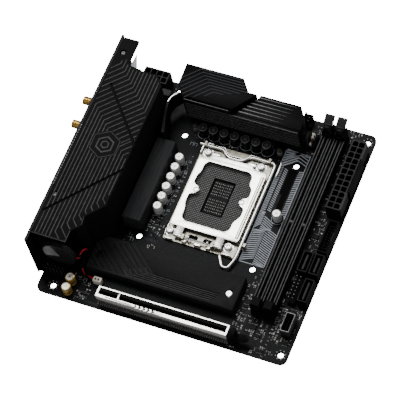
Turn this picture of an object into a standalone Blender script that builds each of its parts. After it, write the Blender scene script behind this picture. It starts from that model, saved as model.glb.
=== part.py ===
"""Compact square desktop motherboard, built as an assembly of separate pieces.

The constants are board millimetres: x runs from the rear panel edge towards the memory slots, y from the
expansion slot edge towards the heatsink edge, and z is zero in the middle of the circuit board.
The assembly is placed so that the world origin is the bottom centre of its bounding box.
"""
import math

import bmesh
import bpy
from mathutils import Matrix, Vector

MM = 0.001
GAP = 0.3                                   # clearance between neighbouring pieces

# Circuit board
BOARD = 170.0
BOARD_T = 1.6
TOP = BOARD_T / 2
BOTTOM = -TOP
CORNER_R = 4.5
SEAT = TOP + GAP                            # where surface parts start
BOARD_HOLES = ((10.16, 6.35), (165.1, 6.35), (165.1, 163.83), (33.02, 163.83))
BOARD_HOLE_R = 1.98
PAD_R = 4.4
PAD_T = 0.1
COOLER_X, COOLER_Y, COOLER_HALF = 88.06, 94.97, 39.0
COOLER_HOLE_R = 2.0
COOLER_PAD_R = 3.2

# Rear panel
PANEL_X = (-4.5, -3.9)
PANEL_Y = (13.5, 172.25)
PANEL_TOP = 41.0
RIM_X = (-4.8, -4.2)
RIM_W = 2.4
BASE_Z = BOTTOM - GAP - 2.0                 # underside of the socket backplate and the panel
JACK_Z = 30.0
JACK_YS = (105.6, 124.0)
JACK_TIP = -13.5
PORT_FRONT = -4.3

# Rear ports: y and z limits of the housings behind the panel
AUDIO_Y, AUDIO_TOP = (25.2, 37.8), 34.0
USB1_Y, USB_TOP = (41.0, 55.2), 32.5
LAN_Y, LAN_TOP = (58.0, 74.0), 31.0
USB2_Y = (76.6, 90.8)
SWITCH_Y, SWITCH_TOP = (92.0, 98.2), 23.0
DISPLAY_Y, DISPLAY_TOP = (99.5, 131.0), 21.5
BUTTON_R = 1.9
BUTTON_Y = 95.1
BUTTON_ZS = {"bios_button": 8.0, "clear_cmos_button": 17.0}
BUTTON_X = (-6.0, 0.3)

# Rear cover
COVER_TOP = 41.0
COVER_T = 1.6
COVER_OUTLINE = ((-2.6, 20.0), (21.4, 20.0), (21.2, 28.6), (26.4, 33.6), (25.6, 40.4), (35.3, 51.0),
                 (35.3, 143.0), (29.6, 150.0), (13.6, 150.0), (8.2, 152.6), (8.2, 170.6), (-2.6, 170.6))
COVER_HOLLOW = ((-8.0, 10.0), (40.0, 10.0), (40.0, 31.8), (22.4, 31.8), (24.8, 34.2), (24.0, 41.0),
                (33.7, 51.7), (33.7, 142.3), (28.8, 148.4), (-8.0, 148.4))
COVER_SCREWS = ((0.7, 49.5), (1.4, 159.3))
EAR_Z = (36.6, 37.8)

# Processor socket
SOCKET_X, SOCKET_Y = 88.0, 96.4
PACKAGE = (37.5, 45.0)
HOUSING_TOP = 4.0
FIELD_Z = 2.2
FRAME_X, FRAME_Y = (64.4, 113.0), (58.8, 132.2)
FRAME_Z = (SEAT, SEAT + 0.8)
SOCKET_SCREWS = ((67.4, 65.1), (107.4, 65.1), (69.4, 125.6), (106.4, 125.6))
SCREW_HEAD_R = 2.7
PLATE_Z = (4.4, 5.6)
PLATE_AXIS = (SOCKET_X, 62.0, 4.6)
PLATE_ARMS = ((71.4, 76.4), (98.9, 103.9))
PLATE_LUGS = ((76.8, 78.4), (96.9, 98.5))
LEVER_R = 1.1
LEVER_AXIS = (SOCKET_X, 129.9, 3.6)
LEVER_ARM_X = 114.9
LEVER_EARS = ((65.6, 67.2), (110.0, 111.6))

# Memory slots
SLOT_XS = (140.8, 149.2)
SLOT_HALF = 3.5
SLOT_Y = (27.0, 163.6)
SLOT_TOP = 9.7
SLOT_KEY_Y = (90.6, 92.2)
LATCH_Y, LATCH_Z = 160.6, 4.2
LATCH_R = 1.8

# Expansion slot
PCIE_X = (42.6, 131.4)
PCIE_Y = (3.3, 10.9)
PCIE_KEY_X = (56.4, 58.2)
PCIE_TOP = 11.9
SHELL_T = 0.6
PCIE_LATCH_AXIS = (134.8, 7.1, 3.4)

# Power connectors: cells on a 4.2 mm grid
CELL_PITCH = 4.2
CELL = 3.5
PLUG_TOP = 13.4
ATX_X, ATX_Y = (158.4, 168.0), (105.7, 157.3)
EPS_X, EPS_Y = (8.7, 26.7), (159.7, 169.3)

# Heatsinks
VRM_FRONT = 142.3
VRM_TOP = 34.0
VRM_STEP = 30.0
VRM_OUTLINE = ((42.0, 151.9), (49.2, VRM_FRONT), (128.2, VRM_FRONT), (128.9, 146.0), (127.8, 154.6),
               (123.0, 161.6), (95.4, 161.6), (93.6, 159.3), (88.3, 159.3), (81.6, 168.1), (41.6, 168.1),
               (42.0, 156.0))
VRM_GAP = ((81.5, VRM_FRONT), (94.4, 159.4))
FIN_PITCH = 3.2
SIDE_X, SIDE_Y, SIDE_TOP = (37.3, 50.2), (60.0, 121.0), 14.0
M2_OUTLINE = ((27.5, 22.5), (127.5, 22.5), (127.5, 46.5), (33.0, 46.5), (27.5, 41.0))
M2_TOP = 8.0
M2_SCREWS = ((33.0, 33.6), (121.4, 32.6))

# Capacitors: x, y of their axes
CAP_R = 3.05
CAP_TOP = 8.8
VRM_CAP_X = 54.3
VRM_CAP_YS = tuple(76.6 + 7.5 * i for i in range(6))
AUDIO_CAPS = ((20.9, 12.0), (21.1, 5.0))
BULK_CAP = (129.4, 94.3)

# Battery
CELL_CENTRE = (11.6, 21.8, 18.2)
CELL_R, CELL_T = 11.6, 4.0
LEAD_R = 1.1
LEAD_ROUTE = ((23.9, 21.8, 19.0), (25.6, 22.3, 19.7), (26.4, 25.0, 20.8), (26.6, 28.0, 19.4), (25.9, 30.0, 16.0),
              (24.9, 29.4, 11.6), (24.4, 27.0, 7.4), (24.6, 23.6, 4.8), (26.4, 20.6, 3.6), (30.0, 17.9, 3.3),
              (34.4, 16.9, 3.4))
BATTERY_PLUG = ((34.7, 40.1), (15.2, 18.5), (SEAT, 6.0))

ORIGIN = Vector(((JACK_TIP + BOARD) / 2, PANEL_Y[1] / 2, BASE_Z))

# Base colour, metallic, roughness
FINISHES = {
    "solder_mask": ((0.020, 0.021, 0.024), 0.0, 0.45),
    "black_plastic": ((0.018, 0.018, 0.019), 0.0, 0.5),
    "cover_plastic": ((0.030, 0.030, 0.032), 0.0, 0.5),
    "grey_plastic": ((0.16, 0.16, 0.17), 0.0, 0.5),
    "white_plastic": ((0.78, 0.77, 0.72), 0.0, 0.45),
    "black_anodised": ((0.028, 0.028, 0.030), 0.9, 0.42),
    "steel": ((0.80, 0.80, 0.79), 1.0, 0.25),
    "dark_steel": ((0.06, 0.06, 0.065), 0.9, 0.4),
    "nickel": ((0.86, 0.85, 0.82), 1.0, 0.2),
    "gold": ((0.83, 0.60, 0.24), 1.0, 0.28),
    "capacitor_can": ((0.85, 0.85, 0.84), 1.0, 0.3),
    "battery_sleeve": ((0.30, 0.30, 0.31), 0.2, 0.4),
    "red_wire": ((0.60, 0.02, 0.03), 0.0, 0.45),
}


def clear_scene():
    for obj in list(bpy.data.objects):
        bpy.data.objects.remove(obj, do_unlink=True)


def collection(name):
    made = bpy.data.collections.new(name)
    bpy.context.scene.collection.children.link(made)
    return made


def material(name):
    colour, metallic, roughness = FINISHES[name]
    made = bpy.data.materials.get(name)
    if made:
        return made
    made = bpy.data.materials.new(name)
    made.use_nodes = True
    shader = made.node_tree.nodes["Principled BSDF"]
    shader.inputs["Base Color"].default_value = (*colour, 1.0)
    shader.inputs["Metallic"].default_value = metallic
    shader.inputs["Roughness"].default_value = roughness
    return made


def at(point):
    """World position of a point in board millimetres."""
    return (Vector(point) - ORIGIN) * MM


def part(obj, finish):
    """File an object as a node of the model."""
    PARTS.objects.link(obj)
    obj.data.materials.append(material(finish))
    return obj


def tool(obj):
    """File an object as a shape that only cuts or joins others."""
    CUTTERS.objects.link(obj)
    obj.hide_render = True
    obj.display_type = "WIRE"
    return obj


def combine(target, shape, operation):
    modifier = target.modifiers.new(shape.name, "BOOLEAN")
    modifier.operation = operation
    modifier.solver = "EXACT"
    modifier.object = shape


def cut(target, *shapes):
    for shape in shapes:
        combine(target, tool(shape), "DIFFERENCE")


def join(target, *shapes):
    for shape in shapes:
        combine(target, tool(shape), "UNION")


def mesh_object(name, bm, origin):
    mesh = bpy.data.meshes.new(name)
    bm.to_mesh(mesh)
    bm.free()
    obj = bpy.data.objects.new(name, mesh)
    obj.location = at(origin)
    return obj


def boxes(name, blocks, origin=None):
    """Blocks, each given as its x, y and z limits, in one mesh."""
    first = [sum(pair) / 2 for pair in blocks[0]]
    origin = Vector(origin or first)
    bm = bmesh.new()
    for block in blocks:
        made = bmesh.ops.create_cube(bm, size=1.0)["verts"]
        bmesh.ops.scale(bm, vec=[(high - low) * MM for low, high in block], verts=made)
        centre = Vector([(low + high) / 2 for low, high in block])
        bmesh.ops.translate(bm, vec=(centre - origin) * MM, verts=made)
    return mesh_object(name, bm, origin)


def box(name, x, y, z, origin=None):
    return boxes(name, [(x, y, z)], origin)


def bevel(obj, width, segments=1):
    modifier = obj.modifiers.new("edge", "BEVEL")
    modifier.width = width * MM
    modifier.segments = segments
    modifier.limit_method = "ANGLE"
    return obj


AXIS_TURN = {
    "x": Matrix.Rotation(math.pi / 2, 4, "Y"),
    "y": Matrix.Rotation(-math.pi / 2, 4, "X"),
    "z": Matrix.Identity(4),
}


def cylinders(name, rods, axis="z", sides=24, origin=None):
    """Rods along one axis, each given as (start point, length, radius), in one mesh."""
    origin = Vector(origin or rods[0][0])
    turn = AXIS_TURN[axis]
    direction = turn @ Vector((0, 0, 1))
    bm = bmesh.new()
    for start, length, radius in rods:
        made = bmesh.ops.create_cone(bm, cap_ends=True, segments=sides, radius1=radius * MM,
                                     radius2=radius * MM, depth=length * MM)["verts"]
        bmesh.ops.transform(bm, matrix=turn, verts=made)
        centre = Vector(start) + direction * (length / 2)
        bmesh.ops.translate(bm, vec=(centre - origin) * MM, verts=made)
    return mesh_object(name, bm, origin)


def round_smooth(obj, angle=35):
    obj.data.shade_smooth()
    obj.data.set_sharp_from_angle(angle=math.radians(angle))
    return obj


def rectangle(x, y, radius=0.0, steps=4):
    """Outline of a rectangle with rounded corners."""
    if not radius:
        return [(x[0], y[0]), (x[1], y[0]), (x[1], y[1]), (x[0], y[1])]
    corners = ((x[1] - radius, y[1] - radius, 0), (x[0] + radius, y[1] - radius, 90),
               (x[0] + radius, y[0] + radius, 180), (x[1] - radius, y[0] + radius, 270))
    outline = []
    for cx, cy, start in corners:
        for step in range(steps + 1):
            turn = math.radians(start + 90 * step / steps)
            outline.append((cx + radius * math.cos(turn), cy + radius * math.sin(turn)))
    return outline


def curve_to_mesh(obj):
    """Replace a curve object by a closed mesh object of the same name and place."""
    bpy.context.scene.collection.objects.link(obj)
    evaluated = obj.evaluated_get(bpy.context.evaluated_depsgraph_get())
    mesh = bpy.data.meshes.new_from_object(evaluated)
    bm = bmesh.new()
    bm.from_mesh(mesh)
    bmesh.ops.remove_doubles(bm, verts=bm.verts, dist=1e-7)
    bm.to_mesh(mesh)
    bm.free()
    name = obj.name
    place = obj.matrix_world.copy()
    bpy.data.objects.remove(obj, do_unlink=True)
    made = bpy.data.objects.new(name, mesh)
    made.matrix_world = place
    return made


def sheet(name, outlines, z, origin=None):
    """A flat piece from one outline and any holes in it, between two heights."""
    origin = Vector(origin or (outlines[0][0][0], outlines[0][0][1], sum(z) / 2))
    curve = bpy.data.curves.new(name, "CURVE")
    curve.dimensions = "2D"
    curve.fill_mode = "BOTH"
    curve.extrude = (z[1] - z[0]) / 2 * MM
    for outline in outlines:
        spline = curve.splines.new("POLY")
        spline.points.add(len(outline) - 1)
        spline.use_cyclic_u = True
        for spot, (px, py) in zip(spline.points, outline):
            spot.co = ((px - origin.x) * MM, (py - origin.y) * MM, 0.0, 1.0)
    obj = bpy.data.objects.new(name, curve)
    obj.location = at((origin.x, origin.y, sum(z) / 2))
    made = curve_to_mesh(obj)
    shift = at((origin.x, origin.y, sum(z) / 2)) - at(origin)
    made.data.transform(Matrix.Translation(shift))
    made.location = at(origin)
    return made


def tube(name, points, radius, origin, resolution=2):
    curve = bpy.data.curves.new(name, "CURVE")
    curve.dimensions = "3D"
    curve.bevel_depth = radius * MM
    curve.bevel_resolution = resolution
    curve.use_fill_caps = True
    spline = curve.splines.new("POLY")
    spline.points.add(len(points) - 1)
    for spot, point in zip(spline.points, points):
        spot.co = (*((Vector(point) - Vector(origin)) * MM), 1.0)
    obj = bpy.data.objects.new(name, curve)
    obj.location = at(origin)
    return obj


def rounded_path(points, radius, steps=3):
    """A bent wire's centre line: straight runs joined by arcs."""
    points = [Vector(point) for point in points]
    path = [points[0]]
    for before, corner, after in zip(points, points[1:], points[2:]):
        back = (before - corner).normalized()
        ahead = (after - corner).normalized()
        reach = min(radius, (before - corner).length * 0.45, (after - corner).length * 0.45)
        start = corner + back * reach
        end = corner + ahead * reach
        for step in range(steps + 1):
            t = step / steps
            path.append(start * (1 - t) ** 2 + corner * 2 * t * (1 - t) + end * t ** 2)
    path.append(points[-1])
    return path


def smooth_path(points, steps):
    """Points along a smooth curve through the given ones."""
    points = [Vector(point) for point in points]
    ends = [points[0] * 2 - points[1], *points, points[-1] * 2 - points[-2]]
    path = []
    for a, b, c, d in zip(ends, ends[1:], ends[2:], ends[3:]):
        for step in range(steps):
            t = step / steps
            path.append(0.5 * (2 * b + (c - a) * t + (2 * a - 5 * b + 4 * c - d) * t ** 2
                               + (3 * b - a - 3 * c + d) * t ** 3))
    path.append(points[-1])
    return path


def circuit_board():
    board = sheet("pcb", [rectangle((0, BOARD), (0, BOARD), CORNER_R, 6)], (BOTTOM, TOP))
    part(board, "solder_mask")
    deep = BOARD_T + 1
    cooler = [(COOLER_X + sx * COOLER_HALF, COOLER_Y + sy * COOLER_HALF) for sx in (-1, 1) for sy in (-1, 1)]
    join(board, cylinders("seat_pads", [((x, y, BOTTOM - PAD_T), PAD_T + 0.4, PAD_R) for x, y in BOARD_HOLES]),
         cylinders("cooler_pads", [((x, y, TOP - 0.4), PAD_T + 0.4, COOLER_PAD_R) for x, y in cooler]))
    cut(board,
        cylinders("board_holes", [((x, y, BOTTOM - 0.5), deep, BOARD_HOLE_R) for x, y in BOARD_HOLES]),
        cylinders("cooler_holes", [((x, y, BOTTOM - 0.5), deep, COOLER_HOLE_R) for x, y in cooler]),
        cylinders("socket_holes", [((x, y, BOTTOM - 0.5), deep, 1.9) for x, y in SOCKET_SCREWS], sides=16))


def socket_backplate():
    plate = part(sheet("socket_backplate", [
        rectangle((FRAME_X[0] - 2, FRAME_X[1] + 2), (60.5, 130.2), 4),
        rectangle((74, 102), (80, 112), 3)], (BASE_Z, BASE_Z + 2.0)), "dark_steel")
    cut(plate, cylinders("backplate_holes", [((x, y, BASE_Z - 1), 4, 1.75) for x, y in SOCKET_SCREWS], sides=16))


def socket_housing():
    half_x, half_y = PACKAGE[0] / 2, PACKAGE[1] / 2
    housing = part(box("socket_housing", (SOCKET_X - half_x - 2.4, SOCKET_X + half_x + 2.4),
                       (SOCKET_Y - half_y - 2.6, SOCKET_Y + half_y + 2.6), (SEAT, HOUSING_TOP)), "grey_plastic")
    cut(housing,
        box("package_recess", (SOCKET_X - half_x - 0.3, SOCKET_X + half_x + 0.3),
            (SOCKET_Y - half_y - 0.3, SOCKET_Y + half_y + 0.3), (FIELD_Z, 9)),
        box("centre_cavity", (SOCKET_X - 6.8, SOCKET_X + 6.6), (SOCKET_Y - 12.6, SOCKET_Y + 12.4), (SEAT + 0.4, 9)))


def socket_frame():
    inner = rectangle((66.5, 109.5), (70.6, 122.2), 1)
    screw_holes = [[(x + 1.8 * math.cos(a * math.pi / 8), y + 1.8 * math.sin(a * math.pi / 8)) for a in range(16)]
                   for x, y in SOCKET_SCREWS]
    frame = part(sheet("socket_frame", [rectangle(FRAME_X, FRAME_Y, 1.5), inner, *screw_holes], FRAME_Z), "steel")
    z = (FRAME_Z[0] + 0.2, PLATE_AXIS[2] + 1.5)
    join(frame,
         boxes("hinge_lugs", [(x, (60.4, 63.6), z) for x in PLATE_LUGS]),
         boxes("lever_ears", [(x, (128.6, 131.8), (FRAME_Z[0] + 0.2, 5.7)) for x in LEVER_EARS]),
         box("lever_rest", (112.0, 118.4), (66.6, 69.4), (FRAME_Z[0] + 0.1, FRAME_Z[1] - 0.1)),
         box("lever_catch", (116.6, 118.2), (66.8, 69.2), (FRAME_Z[0] + 0.2, 6.0)))
    cut(frame,
        cylinders("pin_bores", [((70, *PLATE_AXIS[1:]), 40, 0.95)], "x", 16),
        cylinders("shaft_bores", [((60, *LEVER_AXIS[1:]), 60, LEVER_R + 0.3)], "x", 16))


def socket_load_plate():
    body = [(66.2, 68.6), (112.7, 68.6), (112.7, 120.2), (109.4, 120.6), (102.8, 120.6), (101.6, 123.6),
            (74.4, 123.6), (73.2, 120.6), (69.2, 120.6), (66.2, 119.4)]
    window = [(73.6, 73.1), (102.2, 73.1), (104.6, 75.6), (104.6, 81.2), (107.6, 85.8), (107.6, 92.6),
              (103.6, 93.8), (103.6, 98.8), (107.6, 100.4), (107.6, 106.6), (104.6, 109.8), (104.6, 115.4),
              (102.0, 118.3), (73.4, 118.3), (71.2, 115.4), (71.2, 109.8), (69.6, 106.6), (69.6, 100.4),
              (74.0, 98.8), (74.0, 93.8), (69.6, 92.6), (69.6, 85.8), (71.2, 81.2), (71.2, 75.6)]
    plate = part(sheet("socket_load_plate", [body, window], PLATE_Z, origin=PLATE_AXIS), "steel")
    join(plate, boxes("plate_arms", [(x, (PLATE_AXIS[1], 70.0), (4.45, 5.55)) for x in PLATE_ARMS]))
    join(plate, cylinders("plate_barrels", [((x[0], *PLATE_AXIS[1:]), x[1] - x[0], 1.25) for x in PLATE_ARMS],
                          "x", 20))
    cut(plate, cylinders("barrel_bores", [((60, *PLATE_AXIS[1:]), 56, 0.8)], "x", 16))


def socket_lever():
    _, y, z = LEVER_AXIS
    crank = y - 4.6
    arm = LEVER_ARM_X
    route = [(62.6, y, z), (78.8, y, z), (83.2, crank, z), (93.2, crank, z), (97.0, y, z), (arm, y, z),
             (arm, 58.4, z), (112.6, 50.6, z), (108.6, 50.2, z), (104.6, 56.8, z)]
    lever = tube("socket_lever", rounded_path(route, 2.4), LEVER_R, LEVER_AXIS)
    part(lever, "steel")


def socket_fasteners():
    pin = cylinders("socket_hinge_pin", [((71.0, *PLATE_AXIS[1:]), 33.3, 0.6)], "x", 12)
    part(round_smooth(pin), "steel")
    for number, (x, y) in enumerate(SOCKET_SCREWS, 1):
        top = FRAME_Z[1] + GAP + 2.0
        screw = cylinders(f"socket_screw_{number}", [((x, y, FRAME_Z[1] + GAP), 2.0, SCREW_HEAD_R)], sides=20)
        part(round_smooth(screw), "steel")
        join(screw, cylinders(f"shank_{number}", [((x, y, BASE_Z + 0.2), top - BASE_Z - 1.0, 1.4)], sides=12))
        cut(screw, cylinders(f"drive_{number}", [((x, y, top - 0.9), 2.0, 1.25)], sides=6))


def can(name, x, y, radius, top, finish):
    """A radial capacitor: a can with a rolled top edge."""
    height = top - SEAT
    body = cylinders(name, [((x, y, SEAT), height, radius)], sides=20)
    round_smooth(bevel(body, 0.35))
    part(body, finish)


def capacitors():
    for number, y in enumerate(VRM_CAP_YS, 1):
        can(f"vrm_capacitor_{number}", VRM_CAP_X, y, CAP_R, CAP_TOP, "capacitor_can")
    for number, (x, y) in enumerate(AUDIO_CAPS, 1):
        can(f"audio_capacitor_{number}", x, y, CAP_R + 0.05, CAP_TOP, "gold")
    can("bulk_capacitor", *BULK_CAP, CAP_R, CAP_TOP, "capacitor_can")


def memory_slot(number, x):
    y, wide = SLOT_Y, (x - SLOT_HALF, x + SLOT_HALF)
    slot = part(box(f"dimm_slot_{number}", wide, y, (SEAT, SLOT_TOP)), "black_plastic")
    join(slot, boxes(f"slot_towers_{number}", [
        ((wide[0] + 0.2, wide[1] - 0.2), (y[0] + 0.2, 33.6), (SEAT + 1, 14.0)),
        ((wide[0] + 0.2, wide[1] - 0.2), (155.6, y[1] - 0.2), (SEAT + 1, 14.8))]))
    groove = (x - 0.8, x + 0.8)
    cut(slot,
        boxes(f"slot_grooves_{number}", [(groove, (30.4, SLOT_KEY_Y[0]), (3.0, 20)),
                                         (groove, (SLOT_KEY_Y[1], 157.2), (3.0, 20))]),
        box(f"latch_slit_{number}", (x - 2.1, x + 2.1), (LATCH_Y - 2.3, 166), (1.9, 20)),
        cylinders(f"trunnion_bores_{number}", [((x - 2.9, LATCH_Y, LATCH_Z), 5.8, 1.0)], "x", 12))


def memory_latch(number, x):
    origin = (x, LATCH_Y, LATCH_Z)
    latch = cylinders(f"dimm_latch_{number}", [((x - 1.8, LATCH_Y, LATCH_Z), 3.6, LATCH_R)], "x", 20, origin)
    part(latch, "grey_plastic")
    arm = box(f"latch_arm_{number}", (x - 1.7, x + 1.7), (LATCH_Y - 1.7, LATCH_Y + 1.7), (LATCH_Z, 20.0))
    pad = box(f"latch_pad_{number}", (x - 3.1, x + 3.1), (LATCH_Y - 1.6, LATCH_Y + 5.6), (18.9, 20.9))
    pad.rotation_euler.x = math.radians(22)
    hook = box(f"latch_hook_{number}", (x - 1.4, x + 1.4), (LATCH_Y - 3.0, LATCH_Y), (16.2, 18.4))
    pins = cylinders(f"latch_trunnions_{number}", [((x - 2.6, LATCH_Y, LATCH_Z), 5.2, 0.7)], "x", 12)
    join(latch, arm, pad, hook, pins)


def memory():
    for number, x in enumerate(SLOT_XS, 1):
        memory_slot(number, x)
        memory_latch(number, x)


def expansion_slot():
    inset = SHELL_T + GAP
    x = (PCIE_X[0] + inset, PCIE_X[1] - inset)
    y = (PCIE_Y[0] + inset, PCIE_Y[1] - inset)
    middle = sum(PCIE_Y) / 2
    groove = (middle - 0.9, middle + 0.9)
    slot = part(box("pcie_slot", x, y, (SEAT, PCIE_TOP - 0.4)), "black_plastic")
    cut(slot, boxes("card_groove", [((x[0] + 1.2, PCIE_KEY_X[0]), groove, (3.6, 20)),
                                    ((PCIE_KEY_X[1], x[1] - 1.2), groove, (3.6, 20))]))
    shell = part(sheet("pcie_shell", [
        rectangle(PCIE_X, PCIE_Y, 0.8),
        rectangle((PCIE_X[0] + SHELL_T, PCIE_X[1] - SHELL_T), (PCIE_Y[0] + SHELL_T, PCIE_Y[1] - SHELL_T), 0.3)],
        (SEAT + 0.3, PCIE_TOP)), "steel")
    bevel(shell, 0.15)


def expansion_latch():
    x, y, z = PCIE_LATCH_AXIS
    latch = cylinders("pcie_latch", [((x, y - 2.6, z), 5.2, 1.6)], "y", 16, PCIE_LATCH_AXIS)
    part(latch, "black_plastic")
    join(latch,
         box("latch_post", (x - 1.4, x + 1.4), (y - 2.4, y + 2.4), (z, 13.0)),
         box("latch_lip", (x - 2.8, x), (y - 1.2, y + 1.2), (11.2, 12.8)),
         box("latch_paddle", (x, x + 9.4), (y - 2.3, y + 2.3), (6.0, 7.8)))


def connector_cells(name, x, y, columns, rows):
    """Square cells of a power connector, centred in its outline."""
    start_x = sum(x) / 2 - CELL_PITCH * (columns - 1) / 2
    start_y = sum(y) / 2 - CELL_PITCH * (rows - 1) / 2
    half = CELL / 2
    cells = []
    for column in range(columns):
        for row in range(rows):
            cx = start_x + CELL_PITCH * column
            cy = start_y + CELL_PITCH * row
            cells.append(((cx - half, cx + half), (cy - half, cy + half), (3.4, 20)))
    return boxes(name, cells)


def power_connectors():
    atx = part(box("atx_power_connector", ATX_X, ATX_Y, (SEAT, PLUG_TOP)), "black_plastic")
    join(atx, box("atx_catch", (ATX_X[1] - 0.5, 169.7), (120.0, 144.4), (4.0, 12.6)))
    cut(atx, connector_cells("atx_cells", ATX_X, ATX_Y, 2, 12))
    eps = part(box("cpu_power_connector", EPS_X, EPS_Y, (SEAT, PLUG_TOP)), "black_plastic")
    cut(eps, connector_cells("eps_cells", EPS_X, EPS_Y, 4, 2))


def pins(name, x, y, columns, rows, z, pitch=2.54, half=0.32):
    """Square pins on a grid centred on x, y."""
    blocks = []
    for column in range(columns):
        for row in range(rows):
            px = x + pitch * (column - (columns - 1) / 2)
            py = y + pitch * (row - (rows - 1) / 2)
            blocks.append(((px - half, px + half), (py - half, py + half), z))
    return boxes(name, blocks)


def internal_connectors():
    header = part(box("usb3_header", (163.2, 169.7), (76.6, 100.2), (SEAT, 9.6)), "black_plastic")
    cut(header, box("usb3_cavity", (164.0, 168.9), (77.6, 99.2), (2.4, 20)))
    join(header, pins("usb3_pins", 166.45, 88.4, 2, 9, (2.0, 8.2), 2.0, 0.25))
    shell = part(box("usb_c_header", (160.4, 166.4), (18.6, 31.8), (SEAT, 9.0)), "steel")
    cut(shell, box("usb_c_mouth", (161.4, 165.4), (19.6, 30.8), (2.6, 20)))
    join(shell, box("usb_c_blade", (163.0, 163.8), (20.4, 30.0), (2.0, 8.0)))
    places = (((155.6, 162.4), (60.4, 75.2)), ((163.2, 169.7), (60.4, 75.2)), ((163.2, 169.7), (40.8, 57.2)))
    for number, (x, y) in enumerate(places, 1):
        port = part(box(f"sata_port_{number}", x, y, (SEAT, 9.2)), "black_plastic")
        cut(port, box(f"sata_mouth_{number}", (x[0] + 1, x[1] - 1), (y[0] + 1, y[1] - 1), (2.6, 20)))
        blade = x[0] + 2.6
        join(port, box(f"sata_blade_{number}", (blade, blade + 1.2), (y[0] + 2.2, y[1] - 2.2), (2.2, 8.2)))
    header_z = (SEAT, 3.6)
    panel = part(box("front_panel_header", (156.4, 161.6), (40.2, 58.2), header_z), "black_plastic")
    join(panel, pins("panel_pins", 159.0, 49.2, 2, 7, (2.0, 9.4)))
    audio = part(box("audio_header", (2.6, 15.4), (12.0, 17.1), header_z), "black_plastic")
    join(audio, pins("audio_pins", 9.0, 14.55, 5, 2, (2.0, 9.4)))
    fan = part(box("fan_header", (129.4, 134.0), (148.6, 158.8), header_z), "white_plastic")
    join(fan, box("fan_key", (129.4, 130.4), (150.6, 156.8), (3.0, 9.0)),
         pins("fan_pins", 132.2, 153.7, 1, 4, (2.0, 9.4)))


def panel_cutouts():
    """Openings in the rear panel, as y and z limits."""
    clear = 0.4
    tops = ((AUDIO_Y, AUDIO_TOP), (USB1_Y, USB_TOP), (LAN_Y, LAN_TOP), (USB2_Y, USB_TOP), (DISPLAY_Y, DISPLAY_TOP))
    return [((-9, 2), (y[0] - clear, y[1] + clear), (SEAT - clear, top + clear)) for y, top in tops]


def rear_panel():
    panel = part(box("io_shield", PANEL_X, PANEL_Y, (BASE_Z, PANEL_TOP)), "dark_steel")
    inset = (PANEL_Y[0] + 0.2, PANEL_Y[1] - 0.2), (BASE_Z + 0.2, PANEL_TOP - 0.2)
    rim = box("panel_rim", RIM_X, *inset)
    cut(rim, box("rim_window", (-9, 2), *[(low + RIM_W, high - RIM_W) for low, high in inset]))
    join(panel, rim,
         box("panel_lip", (PANEL_X[0] + 0.1, -2.9), (PANEL_Y[0] + 0.1, PANEL_Y[1] - 0.1), (40.3, 40.9)),
         boxes("panel_ears", [((PANEL_X[0] + 0.1, x + 2.6), (y - 2.6, y + 2.6), EAR_Z) for x, y in COVER_SCREWS]))
    vents = [((-9, 2), (136 + 4.6 * i, 139.2 + 4.6 * i), (6 + 5 * j, 9.6 + 5 * j))
             for i in range(6) for j in range(4)]
    cut(panel,
        boxes("port_windows", panel_cutouts()),
        boxes("panel_vents", vents),
        cylinders("jack_windows", [((-9, y, JACK_Z), 9, 3.3) for y in JACK_YS], "x", 20),
        cylinders("button_windows", [((-9, BUTTON_Y, z), 9, BUTTON_R + 0.4) for z in BUTTON_ZS.values()], "x", 20),
        cylinders("ear_holes", [((x, y, 35), 5, 1.2) for x, y in COVER_SCREWS], sides=12))


def rear_cover():
    low = SEAT + 0.4
    cover = part(sheet("io_cover", [COVER_OUTLINE], (low, COVER_TOP)), "cover_plastic")
    under = COVER_TOP - COVER_T
    cut(cover,
        sheet("cover_hollow", [COVER_HOLLOW], (-3.0, under)),
        box("tab_hollow", (-8, 12), (148.0, 176), (-3.0, under)),
        cylinders("cover_screw_holes", [((x, y, 35), 10, 2.2) for x, y in COVER_SCREWS], sides=20))
    for number, (x, y) in enumerate(COVER_SCREWS, 1):
        screw = cylinders(f"io_cover_screw_{number}", [((x, y, EAR_Z[1] + GAP), 2.4, 1.8)], sides=16)
        part(round_smooth(screw), "steel")
        join(screw, cylinders(f"cover_shank_{number}", [((x, y, 34.0), 4.6, 0.8)], sides=12))
        cut(screw, boxes(f"cover_slot_{number}", [((x - 1.0, x + 1.0), (y - 0.25, y + 0.25), (39.7, 45))]))


def antenna_jacks():
    for number, y in enumerate(JACK_YS, 1):
        jack = cylinders(f"antenna_jack_{number}", [((JACK_TIP, y, JACK_Z), 21.5, 2.9)], "x", 20)
        part(round_smooth(jack), "gold")
        join(jack, cylinders(f"jack_nut_{number}", [((-7.1, y, JACK_Z), 2.2, 4.0)], "x", 6),
             box(f"jack_block_{number}", (0.5, 9.0), (y - 4, y + 4), (JACK_Z - 4, JACK_Z + 4)))
        cut(jack, cylinders(f"jack_bore_{number}", [((JACK_TIP - 1, y, JACK_Z), 7.0, 1.9)], "x", 16))


def socket_mouth(name, port, y, z, depth=9.0, blade=None):
    """A rectangular mouth in the rear face of a port housing, with an optional contact blade in it."""
    cut(port, box(name, (-9, PORT_FRONT + depth), y, z))
    if blade:
        join(port, box(f"{name}_blade", (PORT_FRONT + 1.2, PORT_FRONT + depth + 0.5), (y[0] + 1.2, y[1] - 1.2), blade))


def usb_housing(name, y):
    port = part(box(name, (PORT_FRONT, 15.0), y, (SEAT, USB_TOP)), "steel")
    for row in range(4):
        low = 2.6 + 7.6 * row
        socket_mouth(f"{name}_mouth_{row}", port, (y[0] + 0.8, y[1] - 0.8), (low, low + 5.2), 9.0,
                     (low + 3.0, low + 4.6))


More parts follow.
